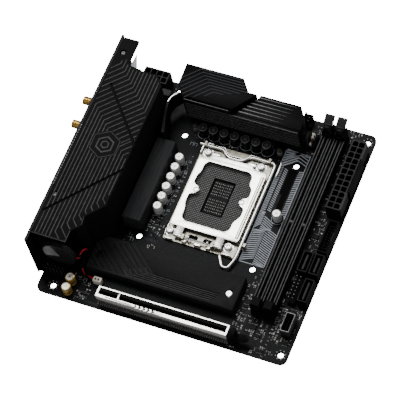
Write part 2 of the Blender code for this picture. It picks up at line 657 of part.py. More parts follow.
def rear_ports():
    audio = part(box("audio_jack_block", (PORT_FRONT, 12.0), AUDIO_Y, (SEAT, AUDIO_TOP)), "black_plastic")
    middle = sum(AUDIO_Y) / 2
    cut(audio, cylinders("audio_bores", [((-9, middle, z), 16, 1.85) for z in (7.0, 17.5, 28.0)], "x", 16))
    usb_housing("usb_port_block_1", USB1_Y)
    usb_housing("usb_port_block_2", USB2_Y)
    lan = part(box("lan_port", (PORT_FRONT, 17.0), LAN_Y, (SEAT, LAN_TOP)), "steel")
    socket_mouth("lan_mouth", lan, (LAN_Y[0] + 2.1, LAN_Y[1] - 2.1), (3.0, 11.4), 13.0)
    for row in range(2):
        low = 15.4 + 7.6 * row
        socket_mouth(f"lan_usb_{row}", lan, (LAN_Y[0] + 1.6, LAN_Y[1] - 1.6), (low, low + 5.2), 9.0,
                     (low + 3.0, low + 4.6))
    display = part(box("display_port_block", (PORT_FRONT, 14.0), DISPLAY_Y, (SEAT, DISPLAY_TOP)), "steel")
    low = 12.4
    socket_mouth("hdmi_mouth", display, (100.4, 114.6), (low, low + 5.0), 9.0, (low + 2.0, low + 3.2))
    socket_mouth("display_mouth", display, (114.8 + 0.8, 130.2), (low, low + 5.0), 9.0, (low + 2.0, low + 3.2))
    socket_mouth("usb_c_port", display, (108.0, 117.2), (3.8, 7.2), 7.0)
    part(box("button_switches", (1.6, 9.0), SWITCH_Y, (SEAT, SWITCH_TOP)), "black_plastic")
    for name, z in BUTTON_ZS.items():
        start = (BUTTON_X[0], BUTTON_Y, z)
        button = cylinders(name, [(start, BUTTON_X[1] - BUTTON_X[0], BUTTON_R)], "x", 20)
        round_smooth(bevel(button, 0.3))
        part(button, "grey_plastic")


def battery():
    x, y, z = CELL_CENTRE
    cell = cylinders("battery", [((x, y - CELL_T / 2, z), CELL_T, CELL_R)], "y", 36)
    round_smooth(bevel(cell, 0.5))
    part(cell, "battery_sleeve")
    lead = tube("battery_lead", smooth_path(LEAD_ROUTE, 3), LEAD_R, LEAD_ROUTE[0])
    part(lead, "red_wire")
    plug = box("battery_connector", *BATTERY_PLUG)
    part(bevel(plug, 0.3), "white_plastic")


def band(name, path, thickness, z):
    """A strip standing on edge along a path in plan."""
    half = thickness / 2
    left, right = [], []
    path = [Vector(point) for point in path]
    for index, point in enumerate(path):
        ahead = path[min(index + 1, len(path) - 1)] - path[max(index - 1, 0)]
        side = Vector((-ahead.y, ahead.x)).normalized() * half
        left.append(tuple(point + side))
        right.append(tuple(point - side))
    return sheet(name, [left + right[::-1]], z)


def vrm_heatsink():
    sink = part(sheet("vrm_heatsink_top", [VRM_OUTLINE], (11.0, VRM_TOP)), "black_anodised")
    (x0, y0), (x1, y1) = VRM_GAP
    along = Vector((x1 - x0, y1 - y0)).normalized()
    out = Vector((along.y, -along.x))
    start = Vector((x0, y0)) - along * 12
    end = Vector((x1, y1)) + along * 12
    lower = [start, start + out * BOARD - along * BOARD, end + out * BOARD, end]
    slit = [start - out * 0.6, start + out * 0.6, end + out * 0.6, end - out * 0.6]
    grooves = [((30, 140), (130, VRM_FRONT + 1.6), (13.0 + FIN_PITCH * i, 14.6 + FIN_PITCH * i)) for i in range(6)]
    join(sink, box("sink_foot", (52.0, 120.0), (147.0, 157.6), (SEAT + 0.5, 12.0)))
    cut(sink,
        sheet("step_cut", [[tuple(p) for p in lower]], (VRM_STEP, VRM_TOP + 2)),
        sheet("slit_cut", [[tuple(p) for p in slit]], (VRM_TOP - 12, VRM_TOP + 2)),
        boxes("fin_cuts", grooves))


def heatsinks():
    vrm_heatsink()
    side = box("vrm_heatsink_side", SIDE_X, SIDE_Y, (SEAT + 0.3, SIDE_TOP))
    part(bevel(side, 0.5), "black_anodised")
    path = smooth_path([(41.6, 121.5, 0), (39.2, 130.0, 0), (36.9, 138.6, 0), (36.3, 143.8, 0), (37.5, 148.4, 0),
                        (41.0, 152.9, 0)], 3)
    part(band("heat_pipe", [point.xy for point in path], 1.8, (8.0, 21.8)), "nickel")
    m2 = part(sheet("m2_heatsink", [M2_OUTLINE], (SEAT + 0.6, M2_TOP)), "black_anodised")
    bevel(m2, 0.4)
    cut(m2, cylinders("m2_screw_holes", [((x, y, 0), 12, 1.5) for x, y in M2_SCREWS], sides=16),
        cylinders("m2_screw_seats", [((x, y, M2_TOP - 1.6), 6, 2.6) for x, y in M2_SCREWS], sides=20))
    for number, (x, y) in enumerate(M2_SCREWS, 1):
        screw = cylinders(f"m2_screw_{number}", [((x, y, M2_TOP - 1.3), 1.5, 2.2)], sides=16)
        part(round_smooth(screw), "steel")
        join(screw, cylinders(f"m2_shank_{number}", [((x, y, SEAT), 6.0, 1.1)], sides=12))
        cut(screw, boxes(f"m2_slot_{number}", [((x - 1.2, x + 1.2), (y - 0.3, y + 0.3), (M2_TOP - 0.4, 12))]))


def motherboard():
    circuit_board()
    socket_backplate()
    socket_housing()
    socket_frame()
    socket_load_plate()
    socket_lever()
    socket_fasteners()
    capacitors()
    memory()
    expansion_slot()
    expansion_latch()
    power_connectors()
    internal_connectors()
    rear_panel()
    rear_cover()
    antenna_jacks()
    rear_ports()
    battery()
    heatsinks()


clear_scene()
PARTS = collection("motherboard")
CUTTERS = collection("cutters")
motherboard()
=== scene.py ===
"""The looks of a compact square desktop motherboard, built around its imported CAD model.

Sizes are board millimetres: x runs from the rear panel edge towards the memory slots, y from the expansion slot
edge towards the heatsink edge, and z is zero in the middle of the circuit board.
"""
import math
import random

import bmesh
import bpy
from mathutils import Matrix, Vector
from mathutils.geometry import tessellate_polygon


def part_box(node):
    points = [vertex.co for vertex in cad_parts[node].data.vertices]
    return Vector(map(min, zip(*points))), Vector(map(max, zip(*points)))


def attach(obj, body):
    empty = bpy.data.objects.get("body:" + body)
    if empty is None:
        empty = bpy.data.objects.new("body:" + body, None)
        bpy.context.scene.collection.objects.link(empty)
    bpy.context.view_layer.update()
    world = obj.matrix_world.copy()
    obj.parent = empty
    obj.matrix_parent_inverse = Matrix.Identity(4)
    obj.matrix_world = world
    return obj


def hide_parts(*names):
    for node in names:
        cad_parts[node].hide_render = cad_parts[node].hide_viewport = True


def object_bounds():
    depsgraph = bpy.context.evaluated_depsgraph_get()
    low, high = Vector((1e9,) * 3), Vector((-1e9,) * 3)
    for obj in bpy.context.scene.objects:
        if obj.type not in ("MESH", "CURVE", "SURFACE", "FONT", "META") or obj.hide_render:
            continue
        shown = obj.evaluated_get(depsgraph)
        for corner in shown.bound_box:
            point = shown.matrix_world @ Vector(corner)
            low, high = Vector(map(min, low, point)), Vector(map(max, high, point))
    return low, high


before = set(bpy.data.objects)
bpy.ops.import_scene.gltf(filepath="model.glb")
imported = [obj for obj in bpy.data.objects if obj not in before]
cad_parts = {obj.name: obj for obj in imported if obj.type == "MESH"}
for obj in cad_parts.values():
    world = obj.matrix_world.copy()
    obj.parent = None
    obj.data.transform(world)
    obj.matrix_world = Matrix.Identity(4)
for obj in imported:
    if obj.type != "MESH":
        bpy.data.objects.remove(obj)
CAD_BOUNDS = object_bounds()

MM = 0.001
BOARD_LOW, BOARD_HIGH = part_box("pcb")
ORIGIN = Vector((BOARD_LOW.x, BOARD_LOW.y, (BOARD_LOW.z + BOARD_HIGH.z) / 2))
TOP = 0.8                                   # upper face of the board
UP = Vector((0, 0, 1))


# ---------------------------------------------------------------- places

def at(point):
    """World position of a point in board millimetres."""
    return ORIGIN + Vector(point) * MM


def limits(node):
    """The x, y and z limits of a CAD node in board millimetres."""
    low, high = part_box(node)
    return tuple(zip((low - ORIGIN) / MM, (high - ORIGIN) / MM))


def shrink(pair, low, high=None):
    """A pair of limits drawn in at both ends."""
    return pair[0] + low, pair[1] - (low if high is None else high)


def middle(pair):
    return (pair[0] + pair[1]) / 2


def near(centre, reach):
    """A pair of limits the same reach either side of a centre."""
    return centre - reach, centre + reach


def steps(start, stop, count):
    """Evenly spaced values, both ends included."""
    return [start + (stop - start) * i / (count - 1) for i in range(count)]


def turned(axis, degrees, centre):
    """A turn about a point in board millimetres."""
    spot = Matrix.Translation(Vector(centre))
    return spot @ Matrix.Rotation(math.radians(degrees), 4, axis) @ spot.inverted()


# ---------------------------------------------------------------- materials

def surface(name, colour, second=None, metallic=0.0, roughness=0.5, spread=0.12, scale=600.0, bump=0.15,
            bump_scale=4000.0, stretch=(1, 1, 1), specular=0.5):
    """A material with cloudy colour, uneven roughness and a fine grain. Scales are features per metre."""
    made = bpy.data.materials.new(name)
    made.use_nodes = True
    nodes, links = made.node_tree.nodes, made.node_tree.links
    shader = nodes["Principled BSDF"]
    shader.inputs["Metallic"].default_value = metallic
    shader.inputs["Specular IOR Level"].default_value = specular
    place = nodes.new("ShaderNodeTexCoord")
    mapping = nodes.new("ShaderNodeMapping")
    mapping.inputs["Scale"].default_value = stretch
    links.new(place.outputs["Object"], mapping.inputs["Vector"])

    def noise(size, detail):
        made_noise = nodes.new("ShaderNodeTexNoise")
        made_noise.inputs["Scale"].default_value = size
        made_noise.inputs["Detail"].default_value = detail
        links.new(mapping.outputs["Vector"], made_noise.inputs["Vector"])
        return made_noise.outputs["Fac"]

    clouds = noise(scale, 4)
    ramp = nodes.new("ShaderNodeValToRGB")
    ramp.color_ramp.elements[0].position = 0.35
    ramp.color_ramp.elements[1].position = 0.65
    second = second or [channel * 0.72 for channel in colour]
    ramp.color_ramp.elements[0].color = (*second, 1)
    ramp.color_ramp.elements[1].color = (*colour, 1)
    links.new(clouds, ramp.inputs["Fac"])
    links.new(ramp.outputs["Color"], shader.inputs["Base Color"])
    shine = nodes.new("ShaderNodeMapRange")
    shine.inputs["To Min"].default_value = max(0.03, roughness - spread)
    shine.inputs["To Max"].default_value = min(1.0, roughness + spread)
    links.new(noise(scale * 3, 3), shine.inputs["Value"])
    links.new(shine.outputs["Result"], shader.inputs["Roughness"])
    relief = nodes.new("ShaderNodeBump")
    relief.inputs["Strength"].default_value = bump
    relief.inputs["Distance"].default_value = 0.00005
    links.new(noise(bump_scale, 2), relief.inputs["Height"])
    links.new(relief.outputs["Normal"], shader.inputs["Normal"])
    return made


MATT = 0.03                                 # specular level of the black surfaces

BOARD = surface("solder_mask", (0.0062, 0.0066, 0.0076), (0.0030, 0.0033, 0.0040), roughness=0.42, scale=260.0,
                bump=0.35, bump_scale=1400.0, specular=0.06)
COPPER = surface("covered_copper", (0.016, 0.017, 0.020), (0.010, 0.011, 0.013), roughness=0.4, scale=900.0,
                 specular=0.08)
BLACK = surface("moulded_black", (0.0045, 0.0045, 0.0048), roughness=0.48, bump=0.3, bump_scale=5200.0,
                specular=MATT)
COVER = surface("cover_black", (0.0080, 0.0080, 0.0080), (0.0060, 0.0060, 0.0060), roughness=0.55, bump=0.35,
                bump_scale=6000.0, specular=MATT)
# Light grey: the badge's and the power connector rails' own colour, and painted highlight on the cover's ribs and
# edge strips and beside the drive heatsink's grooves.
COVER_LINE = surface("cover_line", (0.062, 0.062, 0.061), (0.036, 0.036, 0.036), roughness=0.5, scale=300.0,
                     specular=0.1)
ANODISED = surface("black_anodised", (0.0034, 0.0034, 0.0037), (0.0022, 0.0022, 0.0024), roughness=0.42, bump=0.4,
                   bump_scale=7000.0, specular=0.04)
# Light grey laid along the black heatsink's fin edges and ridges: painted highlight.
ANODISED_HIGHLIGHT = surface("anodised_highlight", (0.11, 0.11, 0.112), (0.05, 0.05, 0.052), roughness=0.4, scale=500.0,
                        specular=0.3)
ANODISED_PLATE = surface("anodised_plate", (0.0150, 0.0150, 0.0158), (0.0115, 0.0115, 0.0122), roughness=0.5,
                         bump=0.4, bump_scale=7000.0, specular=0.05)
ANODISED_SIDE = surface("brushed_black", (0.024, 0.0245, 0.026), (0.016, 0.0165, 0.0175), roughness=0.5,
                        stretch=(1, 0.08, 1), scale=900.0, bump=0.3, specular=0.06)
GREY = surface("moulded_grey", (0.028, 0.028, 0.029), roughness=0.5, bump=0.25, specular=0.1)
DARK_GREY = surface("dark_grey", (0.016, 0.016, 0.017), roughness=0.5, bump=0.25, specular=0.08)
# Light grey on the memory slots' wall tops and key: painted highlight.
WALL_HIGHLIGHT = surface("wall_painted_highlight", (0.085, 0.085, 0.086), (0.050, 0.050, 0.051), roughness=0.5, scale=500.0,
                    specular=0.1)
WHITE = surface("moulded_white", (0.62, 0.59, 0.50), (0.46, 0.43, 0.35), roughness=0.45)
PRINT = surface("board_print", (0.46, 0.485, 0.52), (0.30, 0.325, 0.36),
                roughness=0.6, scale=1500.0, specular=0.1)
STEEL = surface("plated_steel", (0.90, 0.89, 0.85), (0.78, 0.77, 0.73), metallic=1.0, roughness=0.26, spread=0.07,
                scale=350.0, bump=0.12, bump_scale=2500.0)
BRUSHED = surface("brushed_steel", (0.80, 0.79, 0.76), (0.58, 0.57, 0.54), metallic=1.0, roughness=0.26,
                  spread=0.1, stretch=(0.05, 1, 1), scale=2500.0, bump=0.2)
# A darker copy of the plated steel for the socket frame: painted shade for the darker reflections and cast shadows
# on its deck.
SHADED_FRAME_STEEL = surface("frame_steel_painted_shade", (0.34, 0.325, 0.27), (0.20, 0.19, 0.15), metallic=1.0, roughness=0.38,
                      scale=420.0, bump=0.2, bump_scale=2500.0)
DARK_STEEL = surface("coated_steel", (0.0075, 0.0075, 0.008), roughness=0.42, specular=0.1)
DULL_STEEL = surface("dull_steel", (0.12, 0.12, 0.12), (0.06, 0.06, 0.06), metallic=0.8, roughness=0.42)
SOLDER = surface("solder", (0.34, 0.34, 0.33), (0.18, 0.18, 0.175), metallic=0.5, roughness=0.5, scale=2500.0)
GOLD = surface("gold_plate", (0.78, 0.52, 0.15), (0.50, 0.30, 0.07), metallic=0.75, roughness=0.26, spread=0.08)
CAN = surface("bright_can", (0.80, 0.80, 0.78), (0.55, 0.55, 0.54), metallic=0.35, roughness=0.28, scale=1500.0)
CHIP = surface("chip_body", (0.006, 0.006, 0.0065), (0.011, 0.011, 0.012), roughness=0.55, scale=1200.0,
               specular=0.08)
CERAMIC = surface("ceramic", (0.075, 0.066, 0.056), (0.034, 0.030, 0.026), roughness=0.45, scale=1200.0,
                  specular=0.15)
PALE = surface("pale_part", (0.42, 0.42, 0.39), (0.24, 0.24, 0.22), roughness=0.4, scale=1200.0)
CONTACT = surface("contact_grey", (0.040, 0.040, 0.040), (0.024, 0.024, 0.024), metallic=0.3, roughness=0.5,
                  specular=0.2)
FIELD_CONTACT = surface("sprung_contact", (0.27, 0.27, 0.265), (0.18, 0.18, 0.176), roughness=0.4, scale=900.0,
                        specular=0.2)
FIELD = surface("field_black", (0.0028, 0.0028, 0.0030), roughness=0.6, specular=0.02)
RED = surface("red_insulation", (0.46, 0.010, 0.025), (0.30, 0.005, 0.016), roughness=0.38, specular=0.3)
# Light grey sector on the battery's face: painted highlight.
SLEEVE_HIGHLIGHT = surface("battery_sleeve", (0.30, 0.30, 0.30), (0.20, 0.20, 0.20), roughness=0.35, scale=200.0,
                 specular=0.2)
SLEEVE_DARK = surface("sleeve_shade", (0.010, 0.010, 0.011), (0.020, 0.020, 0.022),
                      roughness=0.35, specular=0.15)
BLUE = surface("port_tongue", (0.02, 0.12, 0.42), roughness=0.45)
FLOOR_GLOW = 18.0                           # strong enough to render as plain white
FLOOR = surface("studio_floor", (0.90, 0.90, 0.90), (0.88, 0.88, 0.88), roughness=0.9, scale=3.0, bump=0.02)
FLOOR.node_tree.nodes["Principled BSDF"].inputs["Emission Color"].default_value = (1, 1, 1, 1)
FLOOR.node_tree.nodes["Principled BSDF"].inputs["Emission Strength"].default_value = FLOOR_GLOW
FLOOR.cycles.emission_sampling = "NONE"


# ---------------------------------------------------------------- outlines and paths

def rectangle(x, y):
    return [(x[0], y[0]), (x[1], y[0]), (x[1], y[1]), (x[0], y[1])]


def circle(centre, radius, sides=24, start=0.0):
    turns = [start + 2 * math.pi * i / sides for i in range(sides)]
    return [(centre[0] + radius * math.cos(t), centre[1] + radius * math.sin(t)) for t in turns]


def fillet(outline, radius, arc=4):
    """A closed outline with its corners rounded."""
    rounded = []
    for index, corner in enumerate(outline):
        corner = Vector(corner)
        before, after = Vector(outline[index - 1]), Vector(outline[(index + 1) % len(outline)])
        reach = min(radius, (before - corner).length * 0.45, (after - corner).length * 0.45)
        start = corner + (before - corner).normalized() * reach
        end = corner + (after - corner).normalized() * reach
        for step in range(arc + 1):
            t = step / arc
            rounded.append(tuple(start * (1 - t) ** 2 + corner * 2 * t * (1 - t) + end * t ** 2))
    return rounded


def bent(points, radius, arc=5):
    """An open path with its bends rounded."""
    points = [Vector(point) for point in points]
    path = [points[0]]
    for before, corner, after in zip(points, points[1:], points[2:]):
        reach = min(radius, (before - corner).length * 0.45, (after - corner).length * 0.45)
        start = corner + (before - corner).normalized() * reach
        end = corner + (after - corner).normalized() * reach
        for step in range(arc + 1):
            t = step / arc
            path.append(start * (1 - t) ** 2 + corner * 2 * t * (1 - t) + end * t ** 2)
    path.append(points[-1])
    return path


def smooth(points, count=5):
    """Points along a smooth curve through the given ones."""
    points = [Vector(point) for point in points]
    ends = [points[0] * 2 - points[1], *points, points[-1] * 2 - points[-2]]
    path = []
    for a, b, c, d in zip(ends, ends[1:], ends[2:], ends[3:]):
        for step in range(count):
            t = step / count
            path.append(0.5 * (2 * b + (c - a) * t + (2 * a - 5 * b + 4 * c - d) * t ** 2
                               + (3 * b - a - 3 * c + d) * t ** 3))
    path.append(points[-1])
    return path


# ---------------------------------------------------------------- pieces

class Piece:
    """One visible piece: closed shapes gathered in one mesh, each in one of the piece's materials."""

    def __init__(self, name, *materials):
        self.name = name
        self.materials = materials
        self.points = []
        self.faces = []
        self.paint = []

    def add(self, points, faces, slot=0, move=None):
        base = len(self.points)
        points = [Vector(point) for point in points]
        if move:
            points = [move @ point for point in points]
        self.points += [at(point) for point in points]
        self.faces += [[base + index for index in face] for face in faces]
        self.paint += slot if isinstance(slot, list) else [slot] * len(faces)
        return self

    def box(self, x, y, z, slot=0, move=None):
        corners = [(px, py, pz) for pz in z for py in y for px in x]
        sides = ((0, 2, 3, 1), (4, 5, 7, 6), (0, 1, 5, 4), (2, 6, 7, 3), (0, 4, 6, 2), (1, 3, 7, 5))
        return self.add(corners, sides, slot, move)

    def prism(self, outlines, z, slot=0, move=None):
        """A plate from an outline and any holes in it, between two heights."""
        loops = outlines if isinstance(outlines[0][0], (tuple, Vector)) else [outlines]
        flat = [Vector((x, y, 0)) for loop in loops for x, y in loop]
        count = len(flat)
        points = [(p.x, p.y, height) for height in z for p in flat]
        if len(loops) == 1:
            faces = [tuple(range(count))[::-1], tuple(range(count, 2 * count))]
        else:
            caps = tessellate_polygon([[Vector((x, y, 0)) for x, y in loop] for loop in loops])
            faces = [tuple(cap) for cap in caps] + [tuple(i + count for i in cap)[::-1] for cap in caps]
        first = 0
        for loop in loops:
            size = len(loop)
            for i in range(size):
                here, there = first + i, first + (i + 1) % size
                faces.append((here, there, there + count, here + count))
            first += size
        return self.add(points, faces, slot, move)

    def lathe(self, profile, start, direction=UP, sides=24, slot=0, move=None):
        """A turned shape from (radius, height) pairs. slot may be a list, one for each pair after the first."""
        frame_turn = Vector(direction).to_track_quat("Z", "Y").to_matrix()
        points = []
        for radius, height in profile:
            for x, y in circle((0, 0), radius, sides, math.pi / sides):
                points.append(Vector(start) + frame_turn @ Vector((x, y, height)))
        faces = [tuple(range(sides))[::-1]]
        bands = slot if isinstance(slot, list) else [slot] * (len(profile) - 1)
        paint = [bands[0]]
        for ring, band in enumerate(bands):
            for i in range(sides):
                here, there = ring * sides + i, ring * sides + (i + 1) % sides
                faces.append((here, there, there + sides, here + sides))
                paint.append(band)
        last = (len(profile) - 1) * sides
        faces.append(tuple(range(last, last + sides)))
        paint.append(bands[-1])
        return self.add(points, faces, paint, move)

    def rod(self, start, end, radius, slot=0, sides=20):
        along = Vector(end) - Vector(start)
        return self.lathe([(radius, 0), (radius, along.length)], start, along, sides, slot)

    def tube(self, path, radius, slot=0, sides=14):
        """A round bar along a path, with its section carried round the bends without a twist."""
        path = [Vector(point) for point in path]
        side = (path[1] - path[0]).orthogonal().normalized()
        points = []
        for index, point in enumerate(path):
            ahead = (path[min(index + 1, len(path) - 1)] - path[max(index - 1, 0)]).normalized()
            side = (side - ahead * side.dot(ahead)).normalized()
            other = ahead.cross(side)
            for i in range(sides):
                turn = 2 * math.pi * i / sides
                points.append(point + (side * math.cos(turn) + other * math.sin(turn)) * radius)
        faces = [tuple(range(sides))[::-1]]
        for ring in range(len(path) - 1):
            for i in range(sides):
                here, there = ring * sides + i, ring * sides + (i + 1) % sides
                faces.append((here, there, there + sides, here + sides))
        last = (len(path) - 1) * sides
        faces.append(tuple(range(last, last + sides)))
        return self.add(points, faces, slot)

    def strip(self, path, width, z, slot=0, top=None):
        """A bar along a path in plan, mitred at its bends. top is its width at the top."""
        path = [Vector(point).to_2d() for point in path]
        rings = []
        for index, point in enumerate(path):
            before = (point - path[index - 1]).normalized() if index else (path[1] - point).normalized()
            after = (path[index + 1] - point).normalized() if index < len(path) - 1 else before
            across = Vector((-(before + after).y, (before + after).x)).normalized()
            stretch = 1 / max(0.3, across.dot(Vector((-before.y, before.x))))
            foot = across * stretch * width / 2
            head = across * stretch * (width if top is None else top) / 2
            rings += [(*(point - foot), z[0]), (*(point + foot), z[0]),
                      (*(point + head), z[1]), (*(point - head), z[1])]
        faces = [(0, 1, 2, 3)]
        for ring in range(len(path) - 1):
            for i in range(4):
                here, there = ring * 4 + i, ring * 4 + (i + 1) % 4
                faces.append((here, here + 4, there + 4, there))
        last = (len(path) - 1) * 4
        faces.append((last + 3, last + 2, last + 1, last))
        return self.add(rings, faces, slot)

    def mesh(self):
        """The object, with its faces all turned outwards."""
        data = bpy.data.meshes.new(self.name)
        data.from_pydata(self.points, [], self.faces)
        data.polygons.foreach_set("material_index", self.paint)
        bm = bmesh.new()
        bm.from_mesh(data)
        bmesh.ops.recalc_face_normals(bm, faces=bm.faces)
        bm.to_mesh(data)
        bm.free()
        for material in self.materials:
            data.materials.append(material)
        obj = bpy.data.objects.new(self.name, data)
        bpy.context.scene.collection.objects.link(obj)
        return obj

    def done(self, slot, body="board", replaces=(), bevel=0.0, segments=2, cutters=(), keep=None, angle=32):
        """Finish the piece: cut it, round its edges, and set what it rides on and stands for."""
        obj = self.mesh()
        for cutter in cutters:
            carve(obj, cutter, "DIFFERENCE")
        if keep:
            carve(obj, keep, "INTERSECT")
        if bevel:
            modifier = obj.modifiers.new("edge", "BEVEL")
            modifier.width = bevel * MM
            modifier.segments = segments
            modifier.limit_method = "ANGLE"
            modifier.angle_limit = math.radians(40)
            modifier.use_clamp_overlap = True
            bake(obj)
        obj.data.shade_smooth()
        obj.data.set_sharp_from_angle(angle=math.radians(angle))
        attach(obj, body)
        if replaces:
            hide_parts(*replaces)
        return obj


def bake(obj):
    """Apply an object's modifiers to its mesh."""
    mesh = bpy.data.meshes.new_from_object(obj.evaluated_get(bpy.context.evaluated_depsgraph_get()))
    obj.modifiers.clear()
    obj.data = mesh


def carve(obj, cutter, operation):
    """Cut an object with a piece, or keep only what is inside the piece."""
    shape = cutter.mesh()
    modifier = obj.modifiers.new("cut", "BOOLEAN")
    modifier.operation = operation
    modifier.solver = "EXACT"
    modifier.use_self = True
    modifier.object = shape
    bake(obj)
    bpy.data.objects.remove(shape, do_unlink=True)


# ---------------------------------------------------------------- circuit board

HOLE_RING_R = 3.1
BOARD_HOLES = ((10.16, 6.35), (165.1, 6.35), (165.1, 163.83), (33.02, 163.83))
COOLER_HOLES = [(x, y) for x in (49.06, 127.06) for y in (55.97, 133.97)]
SKIN = (TOP - 0.05, TOP + 0.035)            # heights of a printed line, sunk a little into the board
PHASE_X = [60.9 + 7.42 * number for number in range(7)]     # the black capacitors' row
PHASE_Y = 139.0
SIDE_X = 54.3                                                # the bright capacitors' row
SIDE_Y = [76.6 + 7.5 * number for number in range(6)]


def solder_points():
    dots = Piece("solder_points", SOLDER)
    for x, y in BOARD_HOLES:
        for px, py in circle((x, y), HOLE_RING_R, 8, math.pi / 8):
            dots.lathe([(0.5, 0), (0.42, 0.14), (0.16, 0.24)], (px, py, TOP - 0.02), sides=8)
    x, y, _ = limits("pcie_shell")
    for px in steps(x[0] + 0.6, x[1] - 0.6, 60):
        dots.box(near(px, 0.34), (y[0] - 0.5, y[0] - 0.05), (TOP - 0.02, TOP + 1.1))
    dots.done("steel")


def board_tracks():
    """Covered copper tracks that run across the board in bundles."""
    tracks = Piece("board_tracks", COPPER)
    bundles = (((60, 57), (54, 62), (54, 70)), ((62, 128), (58, 132), (52, 133)),
               ((114, 60), (114, 48), (118, 44)), ((136, 60), (134, 62), (134, 120)),
               ((46, 50), (52, 56), (60, 56)), ((152, 118), (152, 60), (154, 56)),
               ((60, 72), (58, 74), (58, 122)), ((30, 4), (36, 3), (60, 2.6)), ((126, 8), (134, 12), (134, 30)))
    for path in bundles:
        for number in range(5):
            shift = Vector((0.62, -0.32)) * number
            tracks.strip([Vector(point) + shift for point in path], 0.28, SKIN)
    tracks.done("solder_mask")


def hatch(piece, x, y, slope, pitch, width):
    """Parallel printed lines across a rectangle, each rising by slope over the rectangle's width."""
    count = int((y[1] - y[0]) / pitch)
    for number in range(count):
        base = y[0] + pitch * (number + 0.5)
        ends = max(y[0], min(y[1], base)), max(y[0], min(y[1], base + slope))
        if abs(ends[1] - ends[0]) > 0.15 or slope == 0:
            piece.strip([(x[0], ends[0]), (x[1], ends[1])], width, SKIN)


def board_graphic():
    """A plain printed pattern of stripes beside the memory slots."""
    x, y = (116.8, 133.4), (59.2, 143.4)
    lines = Piece("board_graphic", PRINT)
    for side in x:
        lines.strip([(side, y[0]), (side, y[1])], 0.5, SKIN)
    for end in y:
        lines.strip([(x[0], end), (x[1], end)], 0.5, SKIN)
    for number in range(7):
        start = 131.0 + 2.2 * number
        lines.strip([(117.2, start), (126.6, min(start + 7.2, 143.0))], 1.15, SKIN)
        lines.strip([(126.6, min(start + 7.2, 143.0)), (133.2, max(131.0, min(start + 4.6, 143.0)))], 0.6, SKIN)
    hatch(lines, (117.0, 119.6), (96, 131), 1.9, 1.45, 0.5)
    hatch(lines, (120.6, 123.2), (98, 131), -1.2, 1.5, 0.5)
    hatch(lines, (130.2, 133.2), (96, 131), 0.9, 1.4, 0.5)
    hatch(lines, (117.0, 125.0), (59.6, 84.0), 3.4, 1.5, 0.55)
    hatch(lines, (125.4, 133.2), (59.6, 88.0), -3.0, 1.5, 0.55)
    hatch(lines, (117.0, 120.4), (84.0, 97.0), 3.4, 1.4, 0.5)
    hatch(lines, (120.8, 128.0), (84.0, 95.0), -3.6, 1.5, 0.55)
    lines.done("white_plastic")
    block = Piece("board_graphic_block", FIELD)
    block.box((123.8, 129.4), (111.5, 131.0), (TOP - 0.05, TOP + 0.02))
    block.box((125.4, 129.2), (100.0, 111.5), (TOP - 0.05, TOP + 0.02))
    block.done("black_plastic")


def blocked_areas():
    """Plan rectangles that small parts keep out of."""
    skip = {"pcb", "socket_backplate", "battery_lead", "battery", "heat_pipe"}
    areas = []
    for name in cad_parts:
        x, y, z = limits(name)
        if name not in skip and z[0] < 12:
            areas.append((shrink(x, -0.3), shrink(y, -0.3)))
    areas += [(near(x, 4.6), near(y, 4.6)) for x, y in BOARD_HOLES]
    areas += [(near(x, 3.4), near(y, 3.4)) for x, y in COOLER_HOLES]
    areas.append(((37, 133), (2.4, 3.6)))
    return areas


def small_part(piece, x, y, kind, turn):
    """One surface part: slots of the piece are 0 chip, 1 solder, 2 ceramic, 3 pale."""
    half, wide, tall = kind["size"]
    low = TOP - 0.03
    end = 0.22 * half * 2
    move = turned("Z", turn, (x, y, 0))
    piece.box((x - half + end, x + half - end), near(y, wide), (low, low + tall), kind["slot"], move)
    for side in (-1, 1):
        outer, inner = x + side * half, x + side * (half - end)
        piece.box((min(outer, inner), max(outer, inner)), near(y, wide * 1.04),
                  (low, low + tall * 1.04), 1, move)


def small_chip(piece, x, y, half, wide, turn):
    """A chip with leads on two sides."""
    move = turned("Z", turn, (x, y, 0))
    piece.box(near(x, half), near(y, wide), (TOP + 0.08, TOP + 1.0), 0, move)
    count = max(2, int(half * 2 / 0.75))
    for px in steps(x - half + 0.35, x + half - 0.35, count):
        for side in (-1, 1):
            reach = sorted((y + side * wide, y + side * (wide + 0.7)))
            piece.box(near(px, 0.13), reach, (TOP - 0.02, TOP + 0.3), 1, move)


KINDS = (
    {"size": (0.46, 0.24, 0.30), "slot": 2}, {"size": (0.46, 0.24, 0.30), "slot": 0},
    {"size": (0.46, 0.24, 0.30), "slot": 0}, {"size": (0.46, 0.24, 0.30), "slot": 2},
    {"size": (0.66, 0.36, 0.40), "slot": 2}, {"size": (0.66, 0.36, 0.36), "slot": 0},
    {"size": (0.85, 0.52, 0.60), "slot": 2}, {"size": (0.60, 0.34, 0.45), "slot": 3},
)
SMALL_PART_AREAS = (
    # name, x and y limits, share of places filled, share given to chips
    ("audio", (20, 37), (1.4, 22.5), 0.46, 0.04),
    ("corner", (128.5, 169), (1.2, 26.5), 0.32, 0.05),
    ("slot_end", (128.5, 136.8), (14, 58), 0.34, 0.04),
    ("power_strip", (153.2, 158.0), (103, 168), 0.40, 0.02),
    ("phase_end", (124, 137), (143.5, 169), 0.40, 0.04),
    ("socket_left", (51.5, 63), (58, 74), 0.38, 0.03),
    ("socket_below", (55, 84), (47.5, 54.5), 0.40, 0.0),
    ("socket_below_right", (89, 97), (47.2, 54), 0.5, 0.0),
    ("side_strip", (57.6, 63), (74, 125), 0.28, 0.0),
    ("memory_right", (153.2, 162.8), (76, 104), 0.34, 0.05),
    ("front_corner", (153.2, 170), (14, 40.5), 0.46, 0.04),
    ("storage_strip", (153.0, 156.2), (40, 76), 0.5, 0.0),
    ("left_marks", (38, 50), (47, 59), 0.22, 0.03),
    ("top_row", (136, 170), (164.5, 169.2), 0.4, 0.0),
    ("phase_front", (53, 118), (133.6, 136.6), 0.18, 0.0),
)


